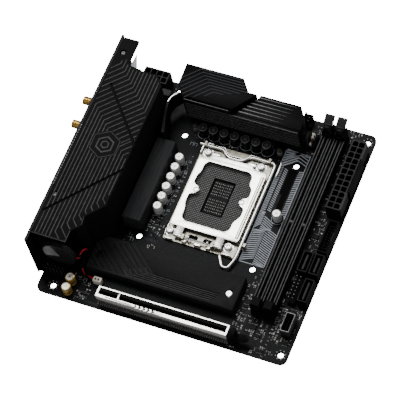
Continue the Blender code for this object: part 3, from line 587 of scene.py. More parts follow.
def small_parts():
    areas = blocked_areas()
    for number, (name, x, y, share, chips) in enumerate(SMALL_PART_AREAS):
        draw = random.Random(number + 7)
        piece = Piece(f"small_parts_{name}", CHIP, SOLDER, CERAMIC, PALE)
        taken = list(areas)

        def clear(px, py, reach_x, reach_y):
            left, right = near(px, reach_x)
            low, high = near(py, reach_y)
            inside = x[0] <= left and right <= x[1] and y[0] <= low and high <= y[1]
            return inside and not any(ax[0] < right and ax[1] > left and ay[0] < high and ay[1] > low
                                      for ax, ay in taken)

        for _ in range(int((x[1] - x[0]) * (y[1] - y[0]) * chips / 3)):
            px, py = draw.uniform(*x), draw.uniform(*y)
            half, wide = draw.choice(((1.6, 1.0), (2.0, 1.6), (1.2, 1.2)))
            if clear(px, py, half + 0.8, wide + 1.0):
                small_chip(piece, px, py, half, wide, 0)
                taken.append(((px - half - 0.4, px + half + 0.4), (py - wide - 0.9, py + wide + 0.9)))
        for row in range(int((y[1] - y[0]) / 1.35)):
            for column in range(int((x[1] - x[0]) / 1.9)):
                px = x[0] + 0.95 + 1.9 * column + draw.uniform(-0.12, 0.12)
                py = y[0] + 0.7 + 1.35 * row
                kind = draw.choice(KINDS)
                standing = draw.random() < 0.4
                filled = draw.random() < share
                half, wide, _ = kind["size"]
                reach = (wide, half) if standing else (half, wide)
                if filled and clear(px, py, reach[0] + 0.05, reach[1] + 0.05):
                    small_part(piece, px, py, kind, 90 if standing else 0)
                    taken.append(((px - reach[0], px + reach[0]), (py - reach[1], py + reach[1])))
        if name == "audio":
            small_chip(piece, 29.4, 10.4, 2.1, 2.1, 0)
        if piece.points:
            piece.done("capacitor_can")


def print_marks():
    """Short printed ticks beside the round capacitors, and plain part outlines."""
    marks = Piece("print_marks", PRINT)
    for y in SIDE_Y:
        marks.box((58.6, 61.2), (y + 1.6, y + 1.9), SKIN)
        marks.box((58.9, 61.0), (y + 2.6, y + 2.85), SKIN)
        marks.box((59.6, 59.9), (y - 1.6, y - 0.2), SKIN)
    rings = [(x, PHASE_Y, 4.3) for x in PHASE_X] + [(129.4, 94.3, 4.1)]
    rings += [(SIDE_X, y, 3.75) for y in SIDE_Y]
    for x, y, radius in rings:
        marks.prism([circle((x, y), radius, 40), circle((x, y), radius - 0.28, 40)], SKIN)
    for x, y in ((56, 129.4), (58.6, 129.4), (137.6, 46), (137.4, 52), (45.5, 52.2), (28.5, 16)):
        marks.strip([(x - 0.9, y - 1.1), (x - 0.9, y + 1.1), (x + 0.9, y + 1.1), (x + 0.9, y - 1.1)], 0.22, SKIN)
    marks.done("white_plastic")


# ---------------------------------------------------------------- processor socket

SOCKET = (88.0, 96.4)
CAVITY = ((SOCKET[0] - 6.8, SOCKET[0] + 6.6), (SOCKET[1] - 12.6, SOCKET[1] + 12.4))


def contact_field():
    """Rows of sprung contacts, with the small parts in the middle cavity."""
    x, y, _ = limits("socket_housing")
    x, y = shrink(x, 2.9), shrink(y, 3.1)
    field_z = 2.2
    field = Piece("contact_field", FIELD_CONTACT, FIELD)
    columns, rows = 33, 37
    for py in steps(y[0], y[1], rows):
        for px in steps(x[0], x[1], columns):
            in_x = CAVITY[0][0] - 0.8 < px < CAVITY[0][1] + 0.8
            if in_x and CAVITY[1][0] - 0.8 < py < CAVITY[1][1] + 0.8:
                continue
            lean = turned("Y", -24, (px, py, field_z))
            field.box(near(px, 0.44), near(py, 0.28), (field_z + 0.12, field_z + 0.34), 0, lean)
            field.box(near(px, 0.1), near(py, 0.12), (field_z - 0.02, field_z + 0.2), 1)
    field.done("steel")
    floor = Piece("cavity_parts", CHIP, SOLDER, CERAMIC, PALE)
    low = 1.46
    floor.box(shrink(CAVITY[0], 0.15), shrink(CAVITY[1], 0.15), (low, low + 0.08))
    for block_y in (steps(CAVITY[1][0] + 2.0, SOCKET[1] - 2.2, 5), steps(SOCKET[1] + 1.8, CAVITY[1][1] - 2.2, 5)):
        for px in steps(CAVITY[0][0] + 1.7, CAVITY[0][1] - 1.7, 5):
            for py in block_y:
                floor.box(near(px, 0.5), near(py, 0.34), (low, low + 0.4), 0)
                for side in (-1, 1):
                    edge = sorted((px + side * 0.66, px + side * 0.42))
                    floor.box(edge, near(py, 0.34), (low, low + 0.42), 3)
    floor.done("capacitor_can")
    # A raised border round the cavity, coloured black: painted shadow along the cavity's edges.
    rim = Piece("cavity_rim_shadow", FIELD)
    rim.prism([rectangle(shrink(CAVITY[0], -0.7), shrink(CAVITY[1], -0.7)),
               rectangle(shrink(CAVITY[0], 0.02), shrink(CAVITY[1], 0.02))], (2.15, 2.75))
    rim.done("grey_plastic", bevel=0.08, segments=1)


PLATE_BODY = [(66.2, 68.6), (112.2, 68.6), (112.7, 70.0), (112.7, 119.0), (111.4, 120.4), (102.8, 120.6),
              (101.6, 123.6), (74.4, 123.6), (73.2, 120.6), (69.2, 120.6), (66.2, 119.4)]
PLATE_WINDOW = [(73.6, 73.1), (102.2, 73.1), (104.6, 75.6), (104.6, 81.2), (107.6, 85.8), (107.6, 92.6),
                (103.6, 93.8), (103.6, 98.8), (107.6, 100.4), (107.6, 106.6), (104.6, 109.8), (104.6, 115.4),
                (102.0, 118.3), (73.4, 118.3), (71.2, 115.4), (71.2, 109.8), (69.6, 106.6), (69.6, 100.4),
                (74.0, 98.8), (74.0, 93.8), (69.6, 92.6), (69.6, 85.8), (71.2, 81.2), (71.2, 75.6)]


def load_plate():
    flat = (4.4, 5.6)
    plate = Piece("load_plate", STEEL, BRUSHED)
    plate.prism([fillet(PLATE_BODY, 1.4), fillet(PLATE_WINDOW, 1.8)], flat)
    for x in ((71.4, 76.4), (98.9, 103.9)):
        plate.box(x, (62.9, 70.2), (4.45, 5.55))
        plate.rod((x[0], 62.0, 4.6), (x[1], 62.0, 4.6), 1.25)
    plate.done("steel", "load_plate", ["socket_load_plate"], bevel=0.4, segments=3,
               cutters=[Piece("bore").rod((60, 62.0, 4.6), (116, 62.0, 4.6), 0.8, sides=16)])
    roll = Piece("load_plate_roll", BRUSHED)
    roll.lathe([(0.3, 0), (1.35, 0.9), (1.35, 47.1), (0.3, 48.0)], (110.9, 70.3, 4.85), (0, 1, 0), 24)
    roll.done("steel", "load_plate")
    tabs = Piece("load_plate_tabs", STEEL)
    for x in (73.0, 104.6):
        tabs.lathe([(2.0, 0), (2.0, 0.12), (1.8, 0.22)], (x, 96.3, 5.45), sides=28)
    tabs.done("steel", "load_plate")


def lever():
    axis_y, axis_z, arm = 129.9, 3.6, 114.9
    route = [(62.6, axis_y, axis_z), (78.8, axis_y, axis_z), (83.2, axis_y - 4.6, axis_z),
             (93.2, axis_y - 4.6, axis_z), (97.0, axis_y, axis_z), (arm, axis_y, axis_z), (arm, 58.4, axis_z),
             (112.6, 50.6, axis_z), (108.6, 50.2, axis_z), (104.6, 56.8, axis_z)]
    bar = Piece("lever_bar", STEEL)
    bar.tube(bent(route, 2.6), 1.1, sides=16)
    bar.done("steel", "lever", ["socket_lever"])


def socket_frame_details():
    """Pressed ribs, folded lips and hinge hooks on the socket's frame."""
    x, _, _ = limits("socket_frame")
    deck = 1.9
    parts = Piece("frame_pressings", STEEL)
    for reach in ((72.6, 78.0), (97.4, 103.0)):
        parts.box(reach, (123.9, 127.0), (deck - 0.1, deck + 1.1))
    parts.strip([(73.0, 131.6), (79.0, 131.6), (83.0, 127.4), (93.4, 127.4), (97.2, 131.6), (104.0, 131.6)],
                0.9, (deck - 0.1, deck + 1.5), top=0.6)
    parts.strip([(x[0] + 0.5, 123.4), (x[0] + 0.5, 131.6), (x[0] + 7.4, 131.6)], 0.8, (deck - 0.1, deck + 2.2))
    parts.strip([(x[1] - 0.5, 121.6), (x[1] - 0.5, 131.6), (x[1] - 1.2, 131.6)], 0.7, (deck - 0.1, deck + 1.3))
    for centre, lip in ((78.8, 1.4), (88.0, 2.2), (95.4, 1.4)):
        parts.box(near(centre, lip), (59.2, 61.0), (deck - 0.1, deck + 1.9))
    parts.strip([(x[0] + 0.5, 61.4), (x[0] + 0.5, 69.4)], 0.8, (deck - 0.1, deck + 1.2))
    parts.strip([(65.6, 59.3), (71.0, 59.3)], 0.8, (deck - 0.1, deck + 1.6))
    parts.strip([(104.4, 59.3), (111.6, 59.3)], 0.8, (deck - 0.1, deck + 1.6))
    parts.done("steel", bevel=0.22, segments=2)
    # Flat black patches on the deck under the hinge hooks, where the slots are: painted shade.
    shade = Piece("frame_slots", FIELD)
    for reach in ((79.4, 86.4), (90.2, 96.4)):
        shade.prism(fillet(rectangle(reach, (62.6, 66.4)), 1.2), (deck - 0.1, deck + 0.04))
    shade.done("black_plastic")
    hooks = Piece("hinge_hooks", STEEL)
    for centre in (81.4, 94.4):
        ring = bent([(centre, 60.6, 2.2), (centre, 60.4, 5.2), (centre, 62.4, 6.2), (centre, 64.2, 5.0)], 1.0)
        hooks.tube(ring, 0.55, sides=10)
    hooks.done("steel")


def lobed(centre, radius, depth=0.16, lobes=6):
    """A six-lobed outline for a screw's drive."""
    turns = [2 * math.pi * i / 48 for i in range(48)]
    return [(centre[0] + radius * (1 + depth * math.cos(lobes * t)) * math.cos(t),
             centre[1] + radius * (1 + depth * math.cos(lobes * t)) * math.sin(t)) for t in turns]


def socket_screws():
    for number in range(1, 5):
        node = f"socket_screw_{number}"
        x, y, z = limits(node)
        centre = (middle(x), middle(y))
        radius, top = (x[1] - x[0]) / 2, z[1]
        screw = Piece(f"{node}_head", STEEL)
        screw.lathe([(1.4, z[0] - top), (1.4, -2.0), (radius, -2.0), (radius, -0.75), (radius * 0.86, -0.2),
                     (radius * 0.6, 0.0)], (*centre, top), sides=32)
        screw.done("steel", replaces=[node], bevel=0.06,
                   cutters=[Piece("drive").prism(lobed(centre, 1.2), (top - 0.9, top + 1))])
        washer = Piece(f"{node}_washer", BRUSHED)
        washer.prism([circle(centre, 3.4, 32), circle(centre, 1.75, 32)], (1.93, 2.12))
        washer.done("steel")


# ---------------------------------------------------------------- round capacitors

def can_profile(radius, height):
    return [(radius * 0.97, 0), (radius, 0.25), (radius, height * 0.12), (radius * 0.95, height * 0.15),
            (radius, height * 0.19), (radius, height - 0.55), (radius * 0.95, height - 0.2),
            (radius * 0.86, height - 0.02), (radius * 0.80, height), (radius * 0.76, height - 0.14),
            (radius * 0.3, height - 0.14)]


def capacitor(name, x, y, low, top, radius, skin, lid, rim, slot, replaces=()):
    piece = Piece(name, skin, lid, BLACK, rim)
    height = top - low
    profile = can_profile(radius, height)
    bands = [0] * (len(profile) - 5) + [3, 3, 1, 1]
    piece.lathe(profile, (x, y, low), sides=32, slot=bands)
    piece.prism(fillet(rectangle(near(x, radius), near(y, radius)), 1.0), (low - 0.1, low + 0.3), 2)
    vent = top - 0.145
    for turn in (15, 75, 135):
        piece.box(near(x, radius * 0.5), near(y, 0.14), (vent - 0.02, vent + 0.05), 3,
                  turned("Z", turn, (x, y, 0)))
    piece.done(slot, replaces=replaces)


CAP_DARK = surface("dark_can", (0.004, 0.004, 0.0045), (0.003, 0.003, 0.0034), roughness=0.18, specular=0.4)
CAP_LID = surface("dark_lid", (0.026, 0.026, 0.027), (0.012, 0.012, 0.013),
                  roughness=0.4, scale=1500.0, specular=0.2)
# Light grey band round the dark cans' rims: painted highlight on the glossy rim. The same grey colours their
# vents.
CAP_RIM_HIGHLIGHT = surface("dark_can_rim_highlight", (0.16, 0.16, 0.161), (0.09, 0.09, 0.091),
                  roughness=0.3, scale=1500.0, specular=0.4)
CAP_WHITE = surface("pale_lid", (0.86, 0.86, 0.84), (0.66, 0.66, 0.64), metallic=0.5,
                    roughness=0.34, scale=2000.0)
LID_RIM = surface("lid_rim", (0.30, 0.30, 0.295), (0.20, 0.20, 0.195), metallic=0.5,
                  roughness=0.3, scale=2000.0)


def capacitors():
    for number in range(1, 7):
        node = f"vrm_capacitor_{number}"
        x, y, z = limits(node)
        capacitor(f"{node}_can", middle(x), middle(y), z[0], z[1], 3.05, CAN, CAP_WHITE, LID_RIM,
                  "capacitor_can", [node])
    for number in (1, 2):
        node = f"audio_capacitor_{number}"
        x, y, z = limits(node)
        capacitor(f"{node}_can", middle(x), middle(y), z[0], z[1], 3.1, GOLD, CAP_WHITE, GOLD, "gold", [node])
    x, y, z = limits("bulk_capacitor")
    capacitor("bulk_capacitor_can", middle(x), middle(y), z[0], z[1], 3.05, CAN, CAP_WHITE, LID_RIM,
              "capacitor_can", ["bulk_capacitor"])
    low, top = z
    # The black capacitors' rims drawn light grey: painted highlight.
    for number, phase_x in enumerate(PHASE_X, 1):
        capacitor(f"phase_capacitor_{number}", phase_x, PHASE_Y, low, top, 3.1, CAP_DARK, CAP_LID, CAP_RIM_HIGHLIGHT,
                  "black_plastic")


def chokes():
    """The moulded inductors behind the capacitors and beside the long heatsink."""
    row = Piece("phase_chokes", DARK_GREY, SOLDER)
    for x in PHASE_X:
        row.box(near(x, 3.2), (143.2, 149.6), (TOP - 0.02, 6.4), 0)
        for side in (-1, 1):
            row.box((x + side * 1.8 - 0.7, x + side * 1.8 + 0.7), (142.9, 143.4), (TOP - 0.02, 2.2), 1)
    row.done("black_plastic", bevel=0.3)
    side = Piece("side_chokes", DARK_GREY, SOLDER)
    for y in SIDE_Y:
        side.box((50.7, 51.2), near(y, 2.9), (TOP - 0.02, 5.6), 0)
        side.box((50.9, 51.25), (y - 1.6, y - 0.4), (TOP - 0.02, 1.8), 1)
    side.done("black_plastic", bevel=0.1, segments=1)
    fixings = Piece("heatsink_springs", CERAMIC, SOLDER)
    for x, y in ((54.4, 140.6), (113.6, 139.6)):
        fixings.lathe([(1.9, 0), (1.9, 1.0), (1.2, 1.2), (1.2, 3.4), (1.8, 3.6), (1.8, 4.6), (1.0, 5.0)],
                      (x, y, TOP - 0.02), sides=20, slot=[1, 0, 0, 0, 0, 0])
        fixings.tube([(x + 1.55 * math.cos(t), y + 1.55 * math.sin(t), 2.0 + t * 0.16)
                      for t in steps(0, 12 * math.pi / 3.2, 40)], 0.22, 1, 8)
    fixings.done("steel")


# ---------------------------------------------------------------- memory slots

def memory_slots():
    for number in (1, 2):
        node = f"dimm_slot_{number}"
        x, y, _ = limits(node)
        centre, low, top = middle(x), 1.1, 9.7
        key = (90.6, 92.2)
        ends = (33.6, 155.6)
        slot = Piece(f"{node}_body", BLACK, WALL_HIGHLIGHT)
        slot.box(x, y, (low, 3.2))
        for side in (-1, 1):
            outer = sorted((centre + side * 3.5, centre + side * 2.75))
            inner = sorted((centre + side * 1.75, centre + side * 0.95))
            for wall, height in ((outer, top), (inner, top - 0.3)):
                slot.box(wall, (ends[0] - 0.5, ends[1] + 0.5), (3.0, height - 0.3))
                # A light grey strip along each wall top: painted highlight.
                slot.box(wall, (ends[0] - 0.4, ends[1] + 0.4), (height - 0.32, height), 1)
            web = sorted((centre + side * 2.85, centre + side * 1.65))
            for py in steps(ends[0] + 3, ends[1] - 3, 24):
                slot.box(web, near(py, 0.5), (3.0, 6.5))
        slot.box(near(centre, 1.1), key, (3.0, top - 0.1), 1)
        slot.box((x[0] + 0.2, x[1] - 0.2), (y[0] + 0.2, ends[0]), (2.0, 12.2))
        slot.box((x[0] + 0.7, x[1] - 0.7), (y[0] + 0.5, ends[0] - 0.4), (12.0, 14.0))
        for side in (-1, 1):
            cheek = sorted((centre + side * 3.3, centre + side * 2.2))
            slot.box(cheek, (ends[1], y[1] - 0.2), (2.0, 14.8))
        slot.box((x[0] + 0.2, x[1] - 0.2), (ends[1], 156.6), (2.0, 12.4))
        slot.done("black_plastic", replaces=[node], bevel=0.16, segments=1)
        contacts = Piece(f"{node}_contacts", CONTACT)
        for py in steps(ends[0] + 1.4, ends[1] - 1.4, 140):
            if key[0] - 0.5 < py < key[1] + 0.5:
                continue
            for side in (-1, 1):
                reach = sorted((centre + side * 1.0, centre + side * 0.6))
                contacts.box(reach, near(py, 0.2), (3.1, 6.6))
        contacts.done("gold")


def memory_latches():
    for number in (1, 2):
        node = f"dimm_latch_{number}"
        centre = middle(limits(node)[0])
        axis = (centre, 160.6, 4.2)
        latch = Piece(f"{node}_lever", GREY)
        latch.lathe([(1.8, 0), (1.8, 3.6)], (centre - 1.8, *axis[1:]), (1, 0, 0), 28)
        latch.rod((centre - 2.6, *axis[1:]), (centre + 2.6, *axis[1:]), 0.7)
        latch.box(near(centre, 1.7), (158.9, 162.3), (4.2, 19.8))
        latch.box(near(centre, 1.4), (157.6, 160.6), (16.2, 18.4))
        lean = turned("X", 22, (centre, 162.6, 19.9))
        latch.box(near(centre, 3.1), (159.0, 166.2), (18.9, 20.9), 0, lean)
        for px in steps(centre - 2.3, centre + 2.3, 6):
            latch.box(near(px, 0.16), (160.2, 165.4), (20.8, 21.12), 0, lean)
        latch.done("grey_plastic", f"latch_{number}", [node], bevel=0.3)


# ---------------------------------------------------------------- expansion slot

SLOT_KEY = 57.3


def expansion_slot():
    x, y, z = limits("pcie_shell")
    shell = Piece("slot_shell", BRUSHED)
    wall = 0.6
    shell.prism([fillet(rectangle(x, y), 0.8), fillet(rectangle(shrink(x, wall), shrink(y, wall)), 0.3)], z)
    lip = (z[1] - 0.38, z[1])
    for edge in ((y[0] + 0.3, y[0] + 2.0), (y[1] - 0.9, y[1] - 0.3)):
        shell.box(shrink(x, 0.3), edge, lip)
    for edge in ((x[0] + 0.3, x[0] + 1.2), (x[1] - 1.2, x[1] - 0.3)):
        shell.box(edge, shrink(y, 0.3), lip)
    shell.box(near(SLOT_KEY, 0.4), (y[0] + 1.6, y[1] - 0.6), (z[1] - 0.5, z[1] - 0.1))
    cutter = Piece("shell_marks")
    cutter.box((x[0] + 6.5, x[0] + 25), (y[0] + 0.8, y[0] + 1.4), (z[1] - 0.6, z[1] + 1))
    for number in range(5):
        px = x[0] + 26.6 + 3.0 * number
        cutter.strip([(px, y[0] - 0.4), (px + 1.4, y[0] + 0.9), (px, y[0] + 2.2)], 0.8, (z[1] - 0.6, z[1] + 1))
    shell.done("steel", replaces=["pcie_shell"], bevel=0.18, segments=2, cutters=[cutter])
    contacts = Piece("slot_contacts", CONTACT)
    for px in steps(x[0] + 3.2, x[1] - 3.0, 82):
        if abs(px - SLOT_KEY) < 1.5:
            continue
        for side in (-1, 1):
            reach = sorted((middle(y) + side * 0.95, middle(y) + side * 0.62))
            contacts.box(near(px, 0.3), reach, (3.7, 8.6))
    contacts.done("gold")


def expansion_latch():
    axis = (134.8, 7.1, 3.4)
    x, y, z = axis
    latch = Piece("slot_latch", BLACK)
    latch.lathe([(1.6, 0), (1.6, 5.2)], (x, y - 2.6, z), (0, 1, 0), 24)
    latch.box(near(x, 1.4), near(y, 2.4), (z, 13.0))
    latch.box((x - 2.8, x), near(y, 1.2), (11.2, 12.8))
    latch.prism(fillet([(x, y - 2.3), (x + 7.4, y - 2.3), (x + 9.4, y - 1.2), (x + 9.4, y + 1.2),
                        (x + 7.4, y + 2.3), (x, y + 2.3)], 0.8), (6.0, 7.8))
    for px in (x + 5.2, x + 6.4, x + 7.6):
        latch.box(near(px, 0.25), near(y, 1.6), (7.7, 8.1))
    latch.done("black_plastic", "slot_latch", ["pcie_latch"], bevel=0.25)


# ---------------------------------------------------------------- power connectors and headers

CELL_PITCH = 4.2
CELL = 3.5


def cell_centres(x, y, columns, rows):
    for column in range(columns):
        for row in range(rows):
            yield (middle(x) + CELL_PITCH * (column - (columns - 1) / 2),
                   middle(y) + CELL_PITCH * (row - (rows - 1) / 2), column + row)


def power_connector(name, x, y, columns, rows):
    low, top = 1.1, 13.4
    half = CELL / 2
    body = Piece(f"{name}_body", BLACK, GREY)
    loops = [rectangle(x, y)]
    pins = Piece(f"{name}_pins", CONTACT)
    for cx, cy, number in cell_centres(x, y, columns, rows):
        cell = rectangle(near(cx, half), near(cy, half))
        if number % 2:
            cut = 0.9
            cell = [(cx - half, cy - half), (cx + half, cy - half), (cx + half, cy + half - cut),
                    (cx + half - cut, cy + half), (cx - half + cut, cy + half), (cx - half, cy + half - cut)]
        loops.append(cell)
        pins.box(near(cx, 0.4), near(cy, 0.4), (3.3, 7.0))
    body.prism(loops, (3.4, top - 0.4))
    body.prism(loops, (top - 0.4, top), 1)
    body.box(x, y, (low, 3.45))
    return body, pins


def power_connectors():
    outer, y, _ = limits("atx_power_connector")
    x = (outer[0], 168.0)
    body, pins = power_connector("main_power", x, y, 2, 12)
    body.box((x[1] - 0.3, outer[1]), (120.0, 144.4), (4.0, 12.6), 0)
    body.box((x[1] - 0.2, x[1] + 0.5), (144.8, 156.6), (3.4, 13.2), 1)
    body.box((x[1] - 0.2, x[1] + 0.5), (106.4, 119.4), (3.4, 13.2), 1)
    body.done("black_plastic", replaces=["atx_power_connector"], bevel=0.14, segments=1)
    pins.done("black_plastic")
    rails = Piece("main_power_rails", COVER_LINE)
    rails.box((x[1] - 0.1, x[1] + 0.62), (145.2, 156.2), (12.6, 13.5))
    rails.box((x[1] - 0.1, x[1] + 0.62), (106.6, 119.0), (12.6, 13.5))
    rails.done("grey_plastic", bevel=0.12, segments=1)
    x, y, _ = limits("cpu_power_connector")
    body, pins = power_connector("processor_power", x, y, 4, 2)
    body.box((14.0, 21.4), (y[0] - 0.9, y[0] + 0.3), (4.0, 12.6), 0)
    body.done("black_plastic", replaces=["cpu_power_connector"], bevel=0.14, segments=1)
    pins.done("black_plastic")
    bulge = Piece("processor_power_filter", GREY)
    bulge.prism(fillet(rectangle((25.2, 32.4), (152.2, 157.2)), 1.6), (TOP - 0.02, 12.6))
    bulge.done("grey_plastic", bevel=0.5, segments=3)


def pin_block(piece, x, y, columns, rows, z, pitch=2.54, half=0.32, slot=1):
    for column in range(columns):
        for row in range(rows):
            px = x + pitch * (column - (columns - 1) / 2)
            py = y + pitch * (row - (rows - 1) / 2)
            piece.box(near(px, half), near(py, half), z, slot)


def headers():
    x, y, _ = limits("usb3_header")
    piece = Piece("front_usb_header", BLACK, CONTACT, DARK_GREY)
    piece.prism([rectangle(x, y), rectangle(shrink(x, 0.8), shrink(y, 1.0))], (2.3, 9.6))
    piece.box(x, y, (1.1, 2.4))
    pin_block(piece, middle(x), middle(y), 2, 9, (2.3, 8.2), 2.0, 0.25)
    piece.box((x[1] - 0.9, x[1] - 0.1), (85.0, 91.8), (6.0, 9.7), 2)
    piece.done("black_plastic", replaces=["usb3_header"], bevel=0.12, segments=1)

    x, y, _ = limits("usb_c_header")
    piece = Piece("front_usb_c_header", DULL_STEEL, CONTACT, FIELD)
    piece.prism([fillet(rectangle(x, y), 1.0), fillet(rectangle(shrink(x, 0.5), shrink(y, 0.6)), 0.7)], (1.1, 9.0))
    piece.box(shrink(x, 0.5), shrink(y, 0.6), (1.2, 2.6), 2)
    piece.box((163.0, 163.8), (20.4, 30.0), (2.5, 8.0), 2)
    for py in steps(21.0, 29.4, 12):
        piece.box((162.93, 163.87), near(py, 0.2), (3.4, 7.6), 1)
    piece.done("steel", replaces=["usb_c_header"], bevel=0.12, segments=1)

    for number in (1, 2, 3):
        node = f"sata_port_{number}"
        x, y, _ = limits(node)
        piece = Piece(f"{node}_shell", BLACK, CONTACT, GREY)
        piece.prism([fillet(rectangle(x, y), 0.5), rectangle(shrink(x, 0.9), shrink(y, 0.9))], (2.5, 9.2))
        piece.box(x, y, (1.1, 2.6))
        blade = (x[0] + 2.6, x[0] + 3.8)
        piece.box(blade, shrink(y, 2.2), (2.5, 8.2), 2)
        for py in steps(y[0] + 3.4, y[1] - 3.6, 7):
            piece.box((blade[1] - 0.05, blade[1] + 0.07), near(py, 0.35), (3.0, 7.8), 1)
        piece.prism([rectangle(shrink(x, 0.35), shrink(y, 0.35)), rectangle(shrink(x, 0.62), shrink(y, 0.62))],
                    (9.1, 9.24), 2)
        piece.done("black_plastic", replaces=[node], bevel=0.1, segments=1)

    for node, columns, rows in (("front_panel_header", 2, 7), ("audio_header", 5, 2)):
        x, y, _ = limits(node)
        piece = Piece(f"{node}_block", BLACK, DULL_STEEL)
        piece.box(x, y, (1.1, 3.6))
        pin_block(piece, middle(x), middle(y), columns, rows, (3.5, 9.4))
        piece.done("black_plastic", replaces=[node], bevel=0.1, segments=1)

    x, y, _ = limits("fan_header")
    piece = Piece("fan_header_block", BLACK, DULL_STEEL, WHITE)
    piece.box(x, y, (1.1, 3.6))
    piece.box((x[0], x[0] + 0.8), (150.6, 156.8), (3.4, 9.0))
    piece.box((x[0] + 0.5, x[0] + 3.0), (153.8, 157.6), (3.4, 6.4), 2)
    piece.box((x[0] + 1.0, x[0] + 2.6), (149.4, 151.4), (3.4, 5.2), 2)
    pin_block(piece, 132.2, 153.7, 1, 4, (3.5, 9.4))
    piece.done("white_plastic", replaces=["fan_header"], bevel=0.15)
    dark = Piece("second_fan_header", BLACK, DULL_STEEL)
    dark.box((121.6, 126.8), (162.2, 168.6), (TOP - 0.02, 3.4))
    dark.box((121.6, 122.6), (162.2, 168.6), (3.2, 11.4))
    dark.box((121.6, 126.8), (167.8, 168.6), (3.2, 9.4))
    pin_block(dark, 124.6, 165.2, 1, 2, (3.3, 9.0))
    dark.done("black_plastic", bevel=0.15)


# ---------------------------------------------------------------- rear panel and cover

COVER_OUTLINE = ((-2.6, 20.0), (21.4, 20.0), (21.2, 28.6), (26.4, 33.6), (25.6, 40.4), (35.3, 51.0),
                 (35.3, 143.0), (29.6, 150.0), (13.6, 150.0), (8.2, 152.6), (8.2, 170.6), (-2.6, 170.6))
COVER_HOLLOW = ((-8.0, 10.0), (40.0, 10.0), (40.0, 31.8), (22.4, 31.8), (24.8, 34.2), (24.0, 41.0),
                (33.7, 51.7), (33.7, 142.3), (28.8, 148.4), (-8.0, 148.4))
COVER_SCREWS = ((0.7, 49.5), (1.4, 159.3))
COVER_SLITS = (((-1.6, 36.4), (36.0, 79.0)), ((2.6, 135.4), (36.2, 96.6)))
LINE_PITCH = 2.45
LINE_SHIFT = 18.25
BADGE = (17.2, 92.0)
BADGE_R = 10.2


def cover_cutters(lift=0.0):
    slits = Piece("slits")
    for start, end in COVER_SLITS:
        slits.strip([start, end], 1.9, (39.9 + lift, 43.0))
    return slits


def rear_cover():
    _, _, z = limits("io_cover")
    cover = Piece("rear_cover", COVER)
    cover.prism(list(COVER_OUTLINE), z)
    hollow = Piece("hollow").prism(list(COVER_HOLLOW), (-3, z[1] - 1.6))
    tab = Piece("tab").box((-8, 12), (148.0, 176), (-3, z[1] - 1.6))
    holes = Piece("holes")
    for x, y in COVER_SCREWS:
        holes.prism(circle((x, y), 2.2, 28), (35, 45))
    cover.done("cover_plastic", replaces=["io_cover"], bevel=0.35, segments=2,
               cutters=[hollow, tab, holes, cover_cutters()])
    cover_highlight_lines(z[1])
    cover_badge(z[1])
    # Raised strips along the cover's edges, drawn light grey: painted highlight.
    ends = Piece("cover_edge_highlights", COVER_LINE)
    ends.strip([(-2.2, 20.2), (20.8, 20.2), (20.8, 28.4)], 0.5, (z[1] - 0.7, z[1] + 0.05))
    ends.strip([(26.0, 34.0), (25.2, 40.2)], 0.4, (z[1] - 0.5, z[1] + 0.04))
    ends.done("cover_plastic", bevel=0.08, segments=1)
    bracket = Piece("cover_bracket", PRINT, BLACK)
    bracket.prism([(8.6, 152.9), (13.6, 152.4), (9.3, 162.6)], (37.2, 38.0))
    bracket.box((8.5, 16.4), (150.3, 152.6), (33.0, 37.6), 1)
    bracket.done("cover_plastic", bevel=0.1, segments=1)


def cover_highlight_lines(top):
    """Fine inlaid ribs, drawn light grey as a painted highlight: straight, then slanting across, then straight
    again.
    """
    lines = Piece("cover_highlight_lines", COVER_LINE)
    low_end, high_end = 14.0, 158.0
    for number in range(-9, 14):
        x = 2.2 + LINE_PITCH * number
        bend = (118.0 if x < 25 else 120.0) - x
        path = []
        if x > 10:
            foot = 25.0 + (x - 12.0) * 1.55
            path.append((x + 12.0, foot - 12.0))
            path.append((x, foot))
        else:
            path.append((x, low_end))
        path += [(x, bend), (x + LINE_SHIFT, bend + LINE_SHIFT), (x + LINE_SHIFT, high_end)]
        lines.strip(path, 0.72, (top - 0.3, top + 0.07), top=0.6)
    region = Piece("region")
    inset = [(-1.9, 20.9), (20.4, 20.9), (20.2, 29.0), (25.2, 34.0), (24.5, 40.8), (34.4, 51.4), (34.4, 142.6),
             (29.2, 149.1), (13.4, 149.1), (7.4, 152.0), (7.4, 156.0), (-1.9, 150.0)]
    region.prism([inset, circle(BADGE, BADGE_R + 0.7, 6, math.pi / 6)], (top - 0.5, top + 1))
    lines.done("cover_plastic", keep=region, cutters=[cover_cutters(-0.5)])


def cover_badge(top):
    """A plain six-sided badge of nested outlines."""
    badge = Piece("cover_badge", COVER_LINE)
    for radius, width in ((BADGE_R, 0.45), (BADGE_R * 0.62, 1.1), (BADGE_R * 0.3, 0.9)):
        outer = circle(BADGE, radius, 6, math.pi / 6)
        inner = circle(BADGE, radius - width, 6, math.pi / 6)
        badge.prism([outer, inner], (top - 0.3, top + 0.08))
    badge.done("cover_plastic")


def cover_screws():
    for number, (x, y) in enumerate(COVER_SCREWS, 1):
        node = f"io_cover_screw_{number}"
        _, _, z = limits(node)
        screw = Piece(f"{node}_head", DULL_STEEL)
        screw.lathe([(0.8, 0), (0.8, 4.1), (1.8, 4.1), (1.8, z[1] - z[0] - 0.5), (1.2, z[1] - z[0])], (x, y, z[0]),
                    sides=28)
        cross = Piece("cross")
        for turn in (20, 110):
            cross.box(near(x, 1.1), near(y, 0.22), (z[1] - 0.6, z[1] + 1), 0,
                      turned("Z", turn, (x, y, 0)))
        screw.done("steel", replaces=[node], cutters=[cross])


